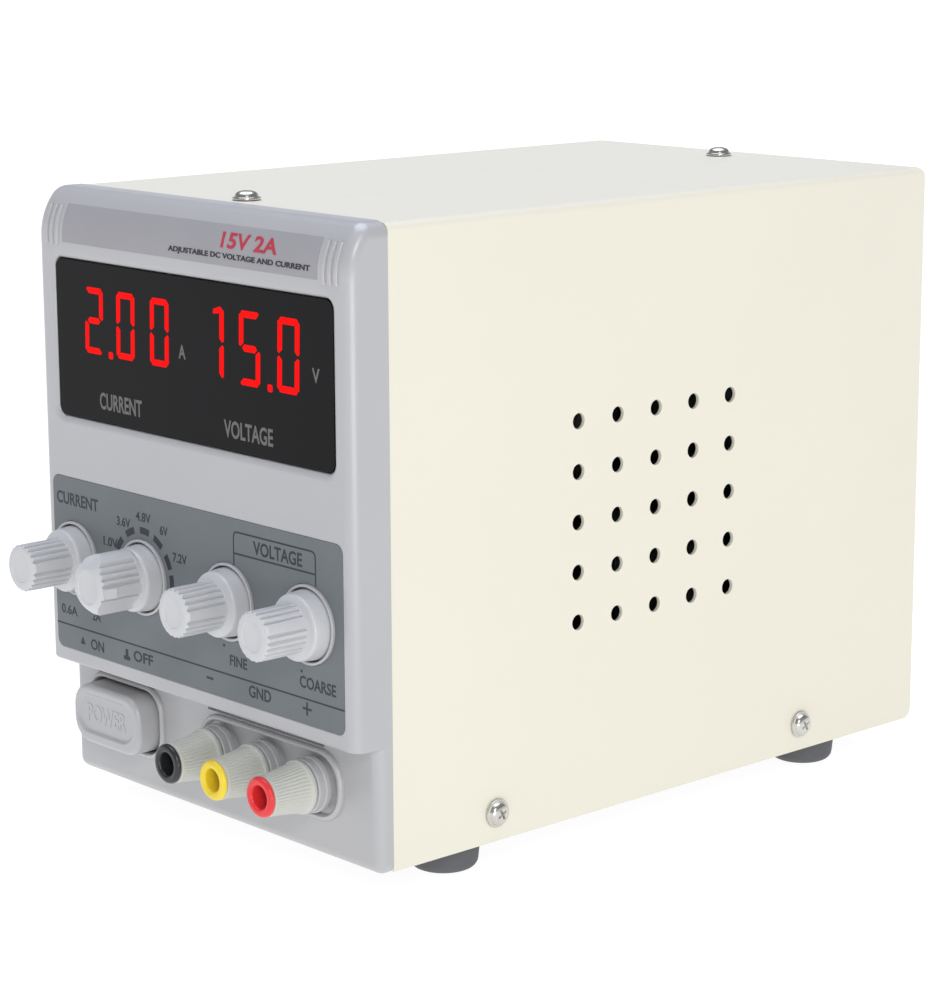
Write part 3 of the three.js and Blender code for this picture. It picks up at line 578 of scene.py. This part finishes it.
def bezel():
    body = join(
        loft([upper_ring(x) for x in stations(TOP_EDGE)]),
        loft([lower_ring(x) for x in stations(FRONT_EDGE)]),
    )
    collar_levels = [(y, inset - COLLAR_WIDTH) for y, inset in crowned(RIM_FRONT, RIM_EDGE, 8.6)]
    collar = slab(BUTTON, BUTTON_CORNER, collar_levels)
    rim = slab(WELL, WELL_CORNER, crowned(RIM_FRONT, RIM_EDGE, 8.4))
    ribs = []
    for side in (-1, 1):
        for k in range(RIBS):
            x = side * (RIB_FIRST_X + RIB_PITCH * k)
            x0, x1 = x - RIB_HALF, x + RIB_HALF
            section = soft([
                (x0, RIB_FOOT, 0), (x0, RIB_TOP, RIB_EDGE),
                (x1, RIB_TOP, RIB_EDGE), (x1, RIB_FOOT, 0),
            ])
            ribs.append(bowed(section, RIB_ANGLES))
    body = join(body, collar, rim, *ribs)
    seat_half, seat_turn = PLATE_HALF + SEAT_GAP, SEAT_GAP / ROLL_RADIUS
    plate_seat = bowed(
        [
            (-seat_half, SEAT_FLOOR), (-seat_half, SEAT_TOP),
            (seat_half, SEAT_TOP), (seat_half, SEAT_FLOOR),
        ],
        (PLATE_ANGLES[0] - seat_turn, PLATE_ANGLES[1] + seat_turn),
    )
    body = cut(
        body,
        *(block(*limits) for limits in HOLLOWS),
        slab(WINDOW, PANE_CORNER, WINDOW_REVEAL),
        block(*WINDOW_OPENING),
        *(block(*limits) for limits in SHADOW_GROOVES),
        slab(LABEL, PANE_CORNER, LABEL_SEAT),
        plate_seat,
        slab(BUTTON, BUTTON_CORNER, BUTTON_OPENING),
        slab(WELL, WELL_CORNER, WELL_RECESS),
    )
    for at in POST_AT.values():
        body = cut(body, spin(POST_HOLE, (at.x, 0, at.z), segments=32))
    for at in KNOB_AT.values():
        centre = (at.x, 0, at.z)
        body = cut(body, spin(KNOB_RECESS, centre))
        body = join(body, spin(KNOB_RING, centre, loop=True))
    return body


def seated(outline, front, back):
    """A film or pane with a fine rounded front edge."""
    return slab(outline, PANE_CORNER, crowned(front, 0.15, back, steps=3))


def control_label():
    holes = [spin(drill(10.2, -1, 2), (at.x, 0, at.z)) for at in KNOB_AT.values()]
    return cut(seated(LABEL, LABEL_FRONT, 0.5), *holes)


def name_plate():
    section = soft([
        (-PLATE_HALF, PLATE_BACK, 0), (-PLATE_HALF, PLATE_RADIUS, 0.12),
        (PLATE_HALF, PLATE_RADIUS, 0.12), (PLATE_HALF, PLATE_BACK, 0),
    ])
    return bowed(section, PLATE_ANGLES)


def on_plate(text, x0, x1, angle0, angle1):
    """Letters bent onto the name plate, between two X positions and two angles of the roll."""
    flat = lettering(
        text, (x0 + x1) / 2, (angle0 + angle1) / 2, x1 - x0, angle1 - angle0, y=0, depth=1,
    )

    def bent(x, y, z):
        r = PLATE_RADIUS + 0.13 - 0.2 * y
        return (x, ROLL_RADIUS - r * math.cos(z), ROLL_Z + r * math.sin(z))

    return moved(flat, bent)


# ---------------------------------------------------------------- display
DIGIT_HALF_WIDTH, DIGIT_HALF_HEIGHT = 4.2, 9.3
BAR_WIDTH, BAR_GAP, BAR_CHAMFER = 1.75, 0.1, 1.15
DIGIT_MIDDLE_Z = 127.4
DIGIT_SLANT = math.tan(math.radians(2))
POINT_HALF, POINT_CORNER = 0.95, 0.5

# The bars each digit lights, by the letters of digit_bars().
LIT_BARS = {"0": "abcdef", "1": "ibc", "2": "abged", "5": "afgcd"}

# Each digit with the X of its middle and its size, and the (x, z) of each decimal point.
READINGS = (
    ("2", -40.3, 0.94), ("0", -26.4, 0.94), ("0", -11.8, 0.94),
    ("1", 10.7, 1.0), ("5", 25.2, 1.0), ("0", 40.3, 1.0),
)
POINTS = ((-33.2, 119.0), (33.0, 118.6))


def digit_bars():
    """Outlines of a digit's bars about its middle.

    a to f go clockwise from the top, g lies across the middle, and i is the flagged top of a 1.
    """
    w, h, t, g, c = DIGIT_HALF_WIDTH, DIGIT_HALF_HEIGHT, BAR_WIDTH, BAR_GAP, BAR_CHAMFER
    top = [(-w + c, h), (w - c, h), (w - c / 2 - g, h - c / 2), (w - t - g, h - t),
           (-w + t + g, h - t), (-w + c / 2 + g, h - c / 2)]
    side = [(w - c / 2, h - c / 2 - g), (w, h - c), (w, 0.75), (w - t * 0.35, 0.3),
            (w - t, t / 2 + 0.4), (w - t, h - t - g)]
    inner = w - t * 1.2
    middle_bar = [(-w + t * 0.75, 0), (-inner, t / 2), (inner, t / 2), (w - t * 0.75, 0),
                  (inner, -t / 2), (-inner, -t / 2)]
    flag = [(-0.1, h - 0.9), (w - c - 0.4, h), (w - c / 2 - g, h - c / 2), (w - t - g, h - t),
            (-0.1, h - t - 0.3)]

    def flipped(outline, x, z):
        return [(x * a, z * b) for a, b in outline]

    return {
        "a": top, "b": side, "c": flipped(side, 1, -1), "d": flipped(top, 1, -1),
        "e": flipped(side, -1, -1), "f": flipped(side, -1, 1), "g": middle_bar, "i": flag,
    }


def display_digits():
    bars = digit_bars()
    front, back = WINDOW_FRONT - 0.05, WINDOW_FRONT + 0.15
    shapes = []
    for digit, cx, size in READINGS:
        for key in LIT_BARS[digit]:
            outline = [
                (cx + size * (a + DIGIT_SLANT * b), DIGIT_MIDDLE_Z + size * b) for a, b in bars[key]
            ]
            shapes.append(prism(outline, front, back))
    for cx, cz in POINTS:
        shapes.append(prism(rect(cx, cz, POINT_HALF, POINT_HALF, POINT_CORNER, 3), front, back))
    return gathered(shapes)


# ---------------------------------------------------------------- knobs
# The nose and the back of the grip, along Y, and the radius of the nose's flat rim.
KNOB_NOSE, GRIP_BACK = -17.8, -5.25
ROUND_RIM, POINTER_RIM = 4.3, 4.7

# A profile point of this radius takes its real radius from fluted() or pointed().
GRIP = 6.4

# Flutes round a grip, and where along it a groove deepens and where it runs out.
FLUTES, FLUTE_DEPTH, FLUTE_WIDTH = 22, 0.85, 0.42
GROOVE_START, GROOVE_END = (-17.7, -16.4), (-5.55, -5.35)

# The degrees at which one flute is missing, which leaves a land.
LAND_AT = {"current": 8.2, "fine": 0.5, "coarse": 25.5}

# The selector's section: its round radius, what the top adds, the distances of its flat sides
# and of its slopes from the axis, and how low its edge is. Grooves are at these degrees.
POINTER_ROUND, POINTER_TOP = 6.75, 1.65
POINTER_SIDE, POINTER_SLOPE, POINTER_EDGE = 6.45, 6.08, 7.5
POINTER_GROOVES = (-25, 11, 26.5, 42, 57.5)

# The selector's raised pad: the degrees over which it starts and ends, and how it rises from
# PAD_START until it ends.
PAD_LOW, PAD_HIGH = (-17.5, -15.5), (4.5, 6.5)
PAD_START, PAD_RISE, PAD_END = -17, 0.25, (-13.65, -13.5)


def groove(away, along):
    """How deep a groove is, by the distance from its middle and the place along the knob."""
    ends = (0.6 + 0.4 * eased(along, *GROOVE_START)) * (1 - eased(along, *GROOVE_END))
    return FLUTE_DEPTH * ends * math.exp(-((away / FLUTE_WIDTH) ** 2))


def fluted(angle, along, land):
    """Fine grooves all round except at the land, cut right through the rounded shoulder."""
    step = 2 * math.pi / FLUTES
    turn = (angle - math.radians(land)) / step
    nearest = round(turn)
    radius = 6.3 + 0.28 * eased(along, -17, -6)
    if nearest % FLUTES:
        radius -= groove((turn - nearest) * step * radius, along)
    rise = min((along - KNOB_NOSE) / 0.9, 1.0)
    shoulder = ROUND_RIM + 2.0 * math.sqrt(1 - (1 - rise) ** 2)
    return min(radius, shoulder)


def pointed(angle, along):
    """A grip with a high top, grooved sides, a pointer edge below and a pad behind the nose."""
    across, up = abs(math.cos(angle)), math.sin(angle)
    degrees = math.degrees(math.asin(up))
    side = POINTER_SIDE / max(across, 0.01)
    radius = min(POINTER_ROUND + POINTER_TOP * max(up, 0.0) ** 4, side)
    if up < 0:
        slope = POINTER_SLOPE / max((across - up) * math.sqrt(0.5), 0.01)
        radius = min(side, slope, -POINTER_EDGE / up)
    for at in POINTER_GROOVES:
        radius -= groove(math.radians(degrees - at) * radius, along)
    pad = eased(degrees, *PAD_LOW) * (1 - eased(degrees, *PAD_HIGH))
    radius += PAD_RISE * pad * max(along - PAD_START, 0) * (1 - eased(along, *PAD_END))
    cone = 4.9 + (0.95 + 3.2 * across ** 2) * (along + 17.75)
    return min(radius, cone)


def knob(name):
    pointer = name == "selector"
    rim = POINTER_RIM if pointer else ROUND_RIM
    nose = [
        (0, -17.5), (rim - 0.75, -17.5), (rim - 0.55, -17.56), (rim - 0.4, KNOB_NOSE),
        (rim, KNOB_NOSE),
    ]
    grip = [-17.74 + 0.12 * k for k in range(14)]
    grip += [-15.9 + 0.25 * k for k in range(7)]
    grip += [-14.1, -13.66, -13.58, -13.5, -12, -10, -8, -5.6, -5.45, -5.35, GRIP_BACK]
    skirt = [
        (6.7, -5.15), (7.2, -5.0), (7.8, -5.0), (8.2, -4.85), (8.42, -4.5), (8.5, -4.0), (8.9, 0.2),
        (8.9, 0.6), (8.7, 0.9), (8.0, 0.9),
    ]
    bore = [(3.3, 0.9), (3.3, -13.8), (0, -13.8)]
    profile = nose + [(GRIP, along) for along in grip] + skirt + bore

    def section(angle, radius, along):
        if radius != GRIP:
            return radius
        return pointed(angle, along) if pointer else fluted(angle, along, LAND_AT[name])

    at = KNOB_AT[name]
    return spin(profile, (at.x, 0, at.z), segments=360, shape=section)


# ---------------------------------------------------------------- button and posts
# How far the middle of the button's dish and legend lies from the button's own middle.
DISH_SHIFT_X, DISH_SHIFT_Z = -0.6, 0.3

# How many fine ribs run round a thumb nut.
NUT_RIBS = 40


def power_button():
    cx, cz = BUTTON[:2]
    cap = slab(BUTTON, 6.6, crowned(0.0, 1.5, 11.5, steps=8))
    dish = slab((cx + DISH_SHIFT_X, cz + DISH_SHIFT_Z, 12.9, 5.5), 5.4, [
        (-0.5, -0.5), (-0.02, -0.35), (0.1, -0.1), (0.35, 0.2), (0.7, 0.5), (0.87, 0.85),
        (0.9, 1.4),
    ])
    stem = block(cx - 2.2, cx + 2.2, 10.5, 30, cz - 2.2, cz + 2.2)
    return join(cut(cap, dish), stem)


def thumb_nut(at):
    def ribbed(angle, radius, along):
        if radius < 4.8:
            return radius
        reach = eased(along, -9.9, -9.2) * (1 - eased(along, -0.2, 0.3))
        return radius - 0.2 * reach * (0.5 - 0.5 * math.cos(NUT_RIBS * angle)) ** 2

    outer = [(4.9, -10.3), (5.1, -10.2), (5.22, -9.9)]
    for k in range(13):
        along = -9.6 + 9.6 * k / 12
        outer.append((5.25 + 1.2 * (k / 12) ** 1.4, along))
    outer += [(6.55, 0.35), (6.8, 0.5), (6.9, 0.75), (6.9, 1.4), (6.7, 1.7)]
    profile = [(4.3, -10.3)] + outer + [(3.3, 1.7), (3.3, -5.7), (4.3, -5.7)]
    return spin(profile, (at.x, 0, at.z), segments=320, loop=True, shape=ribbed)


def end_ring(at):
    profile = soft([
        (2.95, -11.8, 0.9), (5.2, -11.8, 1.1), (5.2, -10.6, 0), (4.0, -10.6, 0), (4.0, -6.0, 0),
        (2.95, -6.0, 0),
    ], 7)
    return spin(profile, (at.x, 0, at.z), loop=True)


def post_base(at):
    profile = soft([
        (3.3, 2.0, 0), (7.0, 2.0, 0.5), (7.0, 4.2, 0.15), (7.3, 4.3, 0.25), (7.3, 5.8, 0.3),
        (6.3, 5.8, 0), (6.3, 8.3, 0), (3.3, 8.3, 0),
    ], 4)
    return spin(profile, (at.x, 0, at.z), loop=True)


# ---------------------------------------------------------------- case
CASE_HALF, CASE_HEIGHT, SHEET = 64.0, 160.5, 1.0
COVER_FRONT, COVER_BACK = 12.3, 212.0
VENTS, VENT_RADIUS = 5, 2.1
VENT_FIRST_Y, VENT_PITCH_Y, VENT_LOW_Z, VENT_PITCH_Z = 75.7, 14.15, 52.4, 13.17

# The cover screws, by the way each head faces.
SCREWS = {
    "top_front": "z", "top_rear": "z", "right_front": "x", "right_rear": "x",
    "left_front": "-x", "left_rear": "-x",
}
HEAD_HEIGHT = 2.2

# How far the cross recess is turned, in radians.
HEAD_TURN = 0.5


def top_cover():
    half, top = CASE_HALF, CASE_HEIGHT
    outer = soft([(-half, 0, 0), (-half, top, 2), (half, top, 2), (half, 0, 0)], 6)
    half, top = CASE_HALF - SHEET, CASE_HEIGHT - SHEET
    inner = soft([(half, 0, 0), (half, top, 1), (-half, top, 1), (-half, 0, 0)], 6)
    sheet = prism(outer + inner, COVER_FRONT, COVER_BACK)
    side = soft([
        (COVER_FRONT - 1, 0, 0), (COVER_BACK, 0, 3), (COVER_BACK, CASE_HEIGHT, 3),
        (COVER_FRONT - 1, CASE_HEIGHT, 0),
    ], 8)
    sheet = common(sheet, side_prism(side, -CASE_HALF - 1, CASE_HALF + 1))
    holes = []
    for row in range(VENTS):
        for column in range(VENTS):
            at = (0, VENT_FIRST_Y + column * VENT_PITCH_Y, VENT_LOW_Z + row * VENT_PITCH_Z)
            for wall in (-CASE_HALF, CASE_HALF):
                holes.append(spin(drill(VENT_RADIUS, wall - 3, wall + 3), at, "x", 28))
    for name, axis in SCREWS.items():
        holes.append(spin(drill(2.4, -5, 5), middle("cover_screw_" + name), axis[-1], 24))
    return cut(sheet, gathered(holes))


def cover_screw(name):
    """A pan-head screw with a cross recess, its head outward from the case."""
    axis = SCREWS[name.removeprefix("cover_screw_")]
    low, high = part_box(name)
    low, high = (low - ORIGIN) / MM, (high - ORIGIN) / MM
    at = (low + high) / 2
    profile = [
        (0, -6.0), (2.0, -6.0), (2.0, 0), (3.7, 0), (3.72, 0.3), (3.6, 0.5), (3.15, 0.62),
        (3.05, 0.8), (2.9, 1.25), (2.55, 1.65), (2.0, 1.93), (1.3, 2.1), (0.6, 2.18),
        (0, HEAD_HEIGHT),
    ]
    head = spin(profile, (0, 0, 0), "z", 48)
    slots = [
        slab((0, 0, half_x, half_z), 0.2, [(-3.4, 0.0), (-2.1, 0.05), (-1.5, 0.3)])
        for half_x, half_z in ((1.6, 0.4), (0.4, 1.6))
    ]
    for mesh in slots:
        moved(mesh, lambda x, y, z: (x, z, -y))
        bm = bmesh.new()
        bm.from_mesh(mesh)
        bmesh.ops.recalc_face_normals(bm, faces=bm.faces)
        bm.to_mesh(mesh)
        bm.free()
    head = cut(head, *slots)
    turn, seat = {
        "z": (0, (at.x, at.y, high.z - HEAD_HEIGHT)),
        "x": (math.pi / 2, (high.x - HEAD_HEIGHT, at.y, at.z)),
        "-x": (-math.pi / 2, (low.x + HEAD_HEIGHT, at.y, at.z)),
    }[axis]
    outward = Matrix.Rotation(turn, 4, "Y")
    head.transform(Matrix.Translation(seat) @ outward @ Matrix.Rotation(HEAD_TURN, 4, "Z"))
    return head


def foot(name):
    at = middle(name)
    profile = soft([
        (0.5, -3.0, 0), (3.4, -3.0, 0), (3.4, -8.0, 0.4), (8.7, -8.0, 2.4), (9.5, -0.1, 0.3),
        (0.5, -0.1, 0),
    ], 5)
    # soft() needs corners off the axis. Its first and last give way to points on the axis.
    profile = [(0, -3.0)] + profile[1:-1] + [(0, -0.1)]
    return spin(profile, (at.x, at.y, 0), "z", 56)


# ---------------------------------------------------------------- pieces
piece("bezel_moulding", bezel(), "bezel", "case", "front_bezel")
piece("window_pane", seated(WINDOW, WINDOW_FRONT, 2.6), "display_window", "case", "display_window")
piece("lit_digits", display_digits(), "digit_red", "case")
piece("name_plate_film", name_plate(), "name_plate", "case", "name_plate")
piece("label_film", control_label(), "control_label", "case", "control_label")

piece("cover_sheet", top_cover(), "cover_paint", "case", "top_cover", crease=28)
for end in SCREWS:
    node = "cover_screw_" + end
    piece(node + "_head", cover_screw(node), "screw_steel", "case", node)
for side in ("right", "left"):
    for end in ("front", "rear"):
        node = f"foot_{side}_{end}"
        piece(node + "_rubber", foot(node), "foot_rubber", "case", node)

for name in KNOBS:
    piece(name + "_knob_cap", knob(name), "knob", name + "_dial", name + "_knob")
piece("power_button_cap", power_button(), "bezel", "power_button", "power_button")
for name in POSTS:
    at = POST_AT[name]
    colour = {"negative": "ring_black", "ground": "ring_yellow", "positive": "ring_red"}[name]
    piece(name + "_thumb_nut", thumb_nut(at), "post_nut", name + "_nut", name + "_post_nut")
    piece(name + "_socket_ring", end_ring(at), colour, name + "_post_end", name + "_post_end_ring")
    piece(name + "_base_collar", post_base(at), "bezel", "case", name + "_post_base")

# ---------------------------------------------------------------- printed and moulded legends
ink_y = LABEL_FRONT - 0.03
legends = [
    lettering(text, cx, cz, width, height, ink_y)
    for text, cx, cz, width, height in (
        ("CURRENT", -49.4, 78.1, 19.0, 3.4),
        ("VOLTAGE", 35.7, 77.8, 19.2, 3.5),
        ("1.0V", -34.7, 69.2, 6.4, 2.5),
        ("3.6V", -28.6, 75.6, 6.0, 2.5),
        ("4.8V", -19.8, 78.2, 6.5, 2.5),
        ("6V", -11.0, 76.0, 3.4, 2.5),
        ("7.2V", -4.4, 69.8, 6.0, 2.5),
        ("0.6A", -54.7, 47.2, 7.4, 2.6),
        ("2A", -42.2, 47.6, 3.8, 2.6),
        ("ON", -42.2, 39.5, 6.0, 3.0),
        ("OFF", -21.5, 40.1, 8.6, 3.0),
        ("GND", 27.7, 40.5, 8.9, 3.2),
        ("FINE", 19.2, 47.0, 7.0, 2.8),
        ("COARSE", 50.6, 47.2, 13.9, 3.1),
    )
]
line = 0.22
legends += [
    bar(-LABEL[2], LABEL[2], 43.0 - line, 43.0 + line, ink_y),
    printed([(-50.0, 38.7), (-47.8, 38.7), (-48.9, 40.9)], ink_y),
    printed([
        (-30.2, 38.2), (-27.4, 38.2), (-27.4, 39.3), (-28.2, 39.3), (-28.2, 41.2), (-29.4, 41.2),
        (-29.4, 39.3), (-30.2, 39.3),
    ], ink_y),
    bar(5.8, 8.6, 40.2, 40.8, ink_y),
    printed([
        (44.6, 40.2), (46.0, 40.2), (46.0, 38.8), (46.6, 38.8), (46.6, 40.2), (48.0, 40.2),
        (48.0, 40.8), (46.6, 40.8), (46.6, 42.2), (46.0, 42.2), (46.0, 40.8), (44.6, 40.8),
    ], ink_y),
]
for cx, cz in ((13.4, 50.4), (44.4, 49.8)):
    legends.append(printed(rect(cx, cz, 0.4, 0.4, 0.38, 3), ink_y))

# The frame round the word over the two voltage knobs.
outer = soft([(18.0, 70.9, 0), (18.0, 80.9, 1.6), (50.6, 80.9, 1.6), (50.6, 72.2, 0)])
inner = soft([(50.15, 72.2, 0), (50.15, 80.45, 1.2), (18.45, 80.45, 1.2), (18.45, 70.9, 0)])
legends.append(join(printed(outer + inner, ink_y), bar(18.2, 50.4, 74.9, 75.35, ink_y)))

# The selector's scale, in arcs of 18 degrees.
scale_at = KNOB_AT["selector"]
for degrees in (144, 115, 85, 57, 28, 3):
    arc = []
    for radius, turn in ((11.6, 1), (13.4, -1)):
        for k in range(7):
            angle = math.radians(degrees - turn * 9 + turn * 3 * k)
            arc.append((
                scale_at.x + radius * math.cos(angle), scale_at.z + radius * math.sin(angle),
            ))
    legends.append(printed(arc, ink_y))
piece("panel_legends", gathered(legends), "ink_dark", "case")

ink_y = WINDOW_FRONT - 0.03
piece("window_legends", gathered([
    lettering("CURRENT", -29.5, 106.5, 18.6, 4.5, ink_y),
    lettering("VOLTAGE", 24.0, 106.3, 19.5, 4.5, ink_y),
    lettering("A", -2.4, 123.5, 2.9, 3.6, ink_y),
    lettering("V", 50.6, 123.8, 2.9, 3.6, ink_y),
]), "ink_light", "case")
rating = on_plate("15V 2A", 15.0, 37.0, 0.20, 0.43)
piece("name_plate_rating", rating, "ink_red", "case")
line_below = on_plate("ADJUSTABLE DC VOLTAGE AND CURRENT", -6.0, 50.0, 0.03, 0.13)
piece("name_plate_line", line_below, "ink_dark", "case")
moulded = lettering(
    "POWER", BUTTON[0] + DISH_SHIFT_X, BUTTON[1] + DISH_SHIFT_Z, 17.5, 5.0, y=0.74, depth=0.4,
)
piece("button_legend", moulded, "bezel", "power_button")

# ---------------------------------------------------------------- CAD nodes, in their finishes
for part in frame["record"]["subparts"]:
    node = frame["nodes"][part["node"]]
    node.data.materials.clear()
    node.data.materials.append(FINISH[part["material_slot"]])
    for polygon in node.data.polygons:
        polygon.use_smooth = True
    weld = node.modifiers.new("weld", "WELD")
    weld.merge_threshold = 0.00001
    bevel = node.modifiers.new("bevel", "BEVEL")
    bevel.width = 0.00025
    bevel.segments = 2
    bevel.limit_method = "ANGLE"
    bevel.angle_limit = math.radians(35)
    weigh = node.modifiers.new("weighted", "WEIGHTED_NORMAL")
    weigh.mode = "FACE_AREA_WITH_ANGLE"

# ---------------------------------------------------------------- studio
FLOOR_HALF = 30.0

floor = bpy.data.objects.new("floor", bpy.data.meshes.new("floor"))
corners = [(x * FLOOR_HALF, y * FLOOR_HALF, 0) for x, y in ((-1, -1), (1, -1), (1, 1), (-1, 1))]
floor.data.from_pydata(corners, [], [(0, 1, 2, 3)])
table = finish("light_table", (0.20, 0.20, 0.20), 0.9, tint=0.004, patch=3, bump=0.0, specular=0.1)
shine(table, (1, 1, 1), 0.92)
floor.data.materials.append(table)
bpy.context.scene.collection.objects.link(floor)

# The background is nearly white at the horizon and dark overhead, by how steep a direction is.
SKY_STEPS = (0.09, 0.30)
SKY_LEVELS = (0.96, 0.25)

world = bpy.data.worlds.new("studio")
world.use_nodes = True
sky = world.node_tree
direction = sky.nodes.new("ShaderNodeTexCoord")
height = sky.nodes.new("ShaderNodeSeparateXYZ")
shade = sky.nodes.new("ShaderNodeValToRGB")
for element, at, level in zip(shade.color_ramp.elements, SKY_STEPS, SKY_LEVELS):
    element.position = at
    element.color = (0.985 * level, level, 1.03 * level, 1)
sky.links.new(direction.outputs["Generated"], height.inputs["Vector"])
sky.links.new(height.outputs["Z"], shade.inputs["Fac"])
sky.links.new(shade.outputs["Color"], sky.nodes["Background"].inputs["Color"])
sky.nodes["Background"].inputs["Strength"].default_value = 1.0
bpy.context.scene.world = world
bpy.context.scene.view_settings.view_transform = "Standard"
bpy.context.scene.view_settings.look = "None"


def sun(name, toward, colour, strength, spread):
    """Even light from the direction toward, with soft shadows of that spread in degrees."""
    light = bpy.data.lights.new(name, "SUN")
    light.color = colour
    light.energy = strength * math.pi
    light.angle = math.radians(spread)
    holder = bpy.data.objects.new(name, light)
    holder.rotation_euler = (-Vector(toward)).to_track_quat("-Z", "Y").to_euler()
    bpy.context.scene.collection.objects.link(holder)


def softbox(name, at, toward, width, height, power):
    """A soft panel of light at a place, facing another. It isn't seen by the camera."""
    light = bpy.data.lights.new(name, "AREA")
    light.shape = "RECTANGLE"
    light.size, light.size_y = width, height
    light.energy = power
    holder = bpy.data.objects.new(name, light)
    holder.location = at
    holder.rotation_euler = (Vector(toward) - Vector(at)).to_track_quat("-Z", "Y").to_euler()
    holder.visible_camera = False
    bpy.context.scene.collection.objects.link(holder)


sun("key", (0.70, -0.50, 0.52), (1.0, 1.0, 0.985), 0.24, 18)
sun("top_light", (-0.2, 0.1, 1.0), (0.90, 0.94, 1.10), 0.74, 60)
softbox("edge_light", (0.58, -0.38, 0.05), (0, -0.08, 0.06), 0.4, 0.08, 0.6)

# The camera fitted to the photograph, as its place and its own right, up and backward directions.
CAMERA_AT = (0.57769, -0.53485, 0.24544)
CAMERA_AXES = (
    (0.67603956, 0.73685532, -0.00384021),
    (-0.15093074, 0.14357108, 0.97806301),
    (0.72124228, -0.66062968, 0.20827385),
)
camera_data = bpy.data.cameras.new("camera")
camera_data.lens = 103.28
camera_data.sensor_width = 36
camera = bpy.data.objects.new("camera", camera_data)
camera.matrix_world = Matrix.Translation(CAMERA_AT) @ Matrix(CAMERA_AXES).transposed().to_4x4()
bpy.context.scene.collection.objects.link(camera)
bpy.context.scene.camera = camera
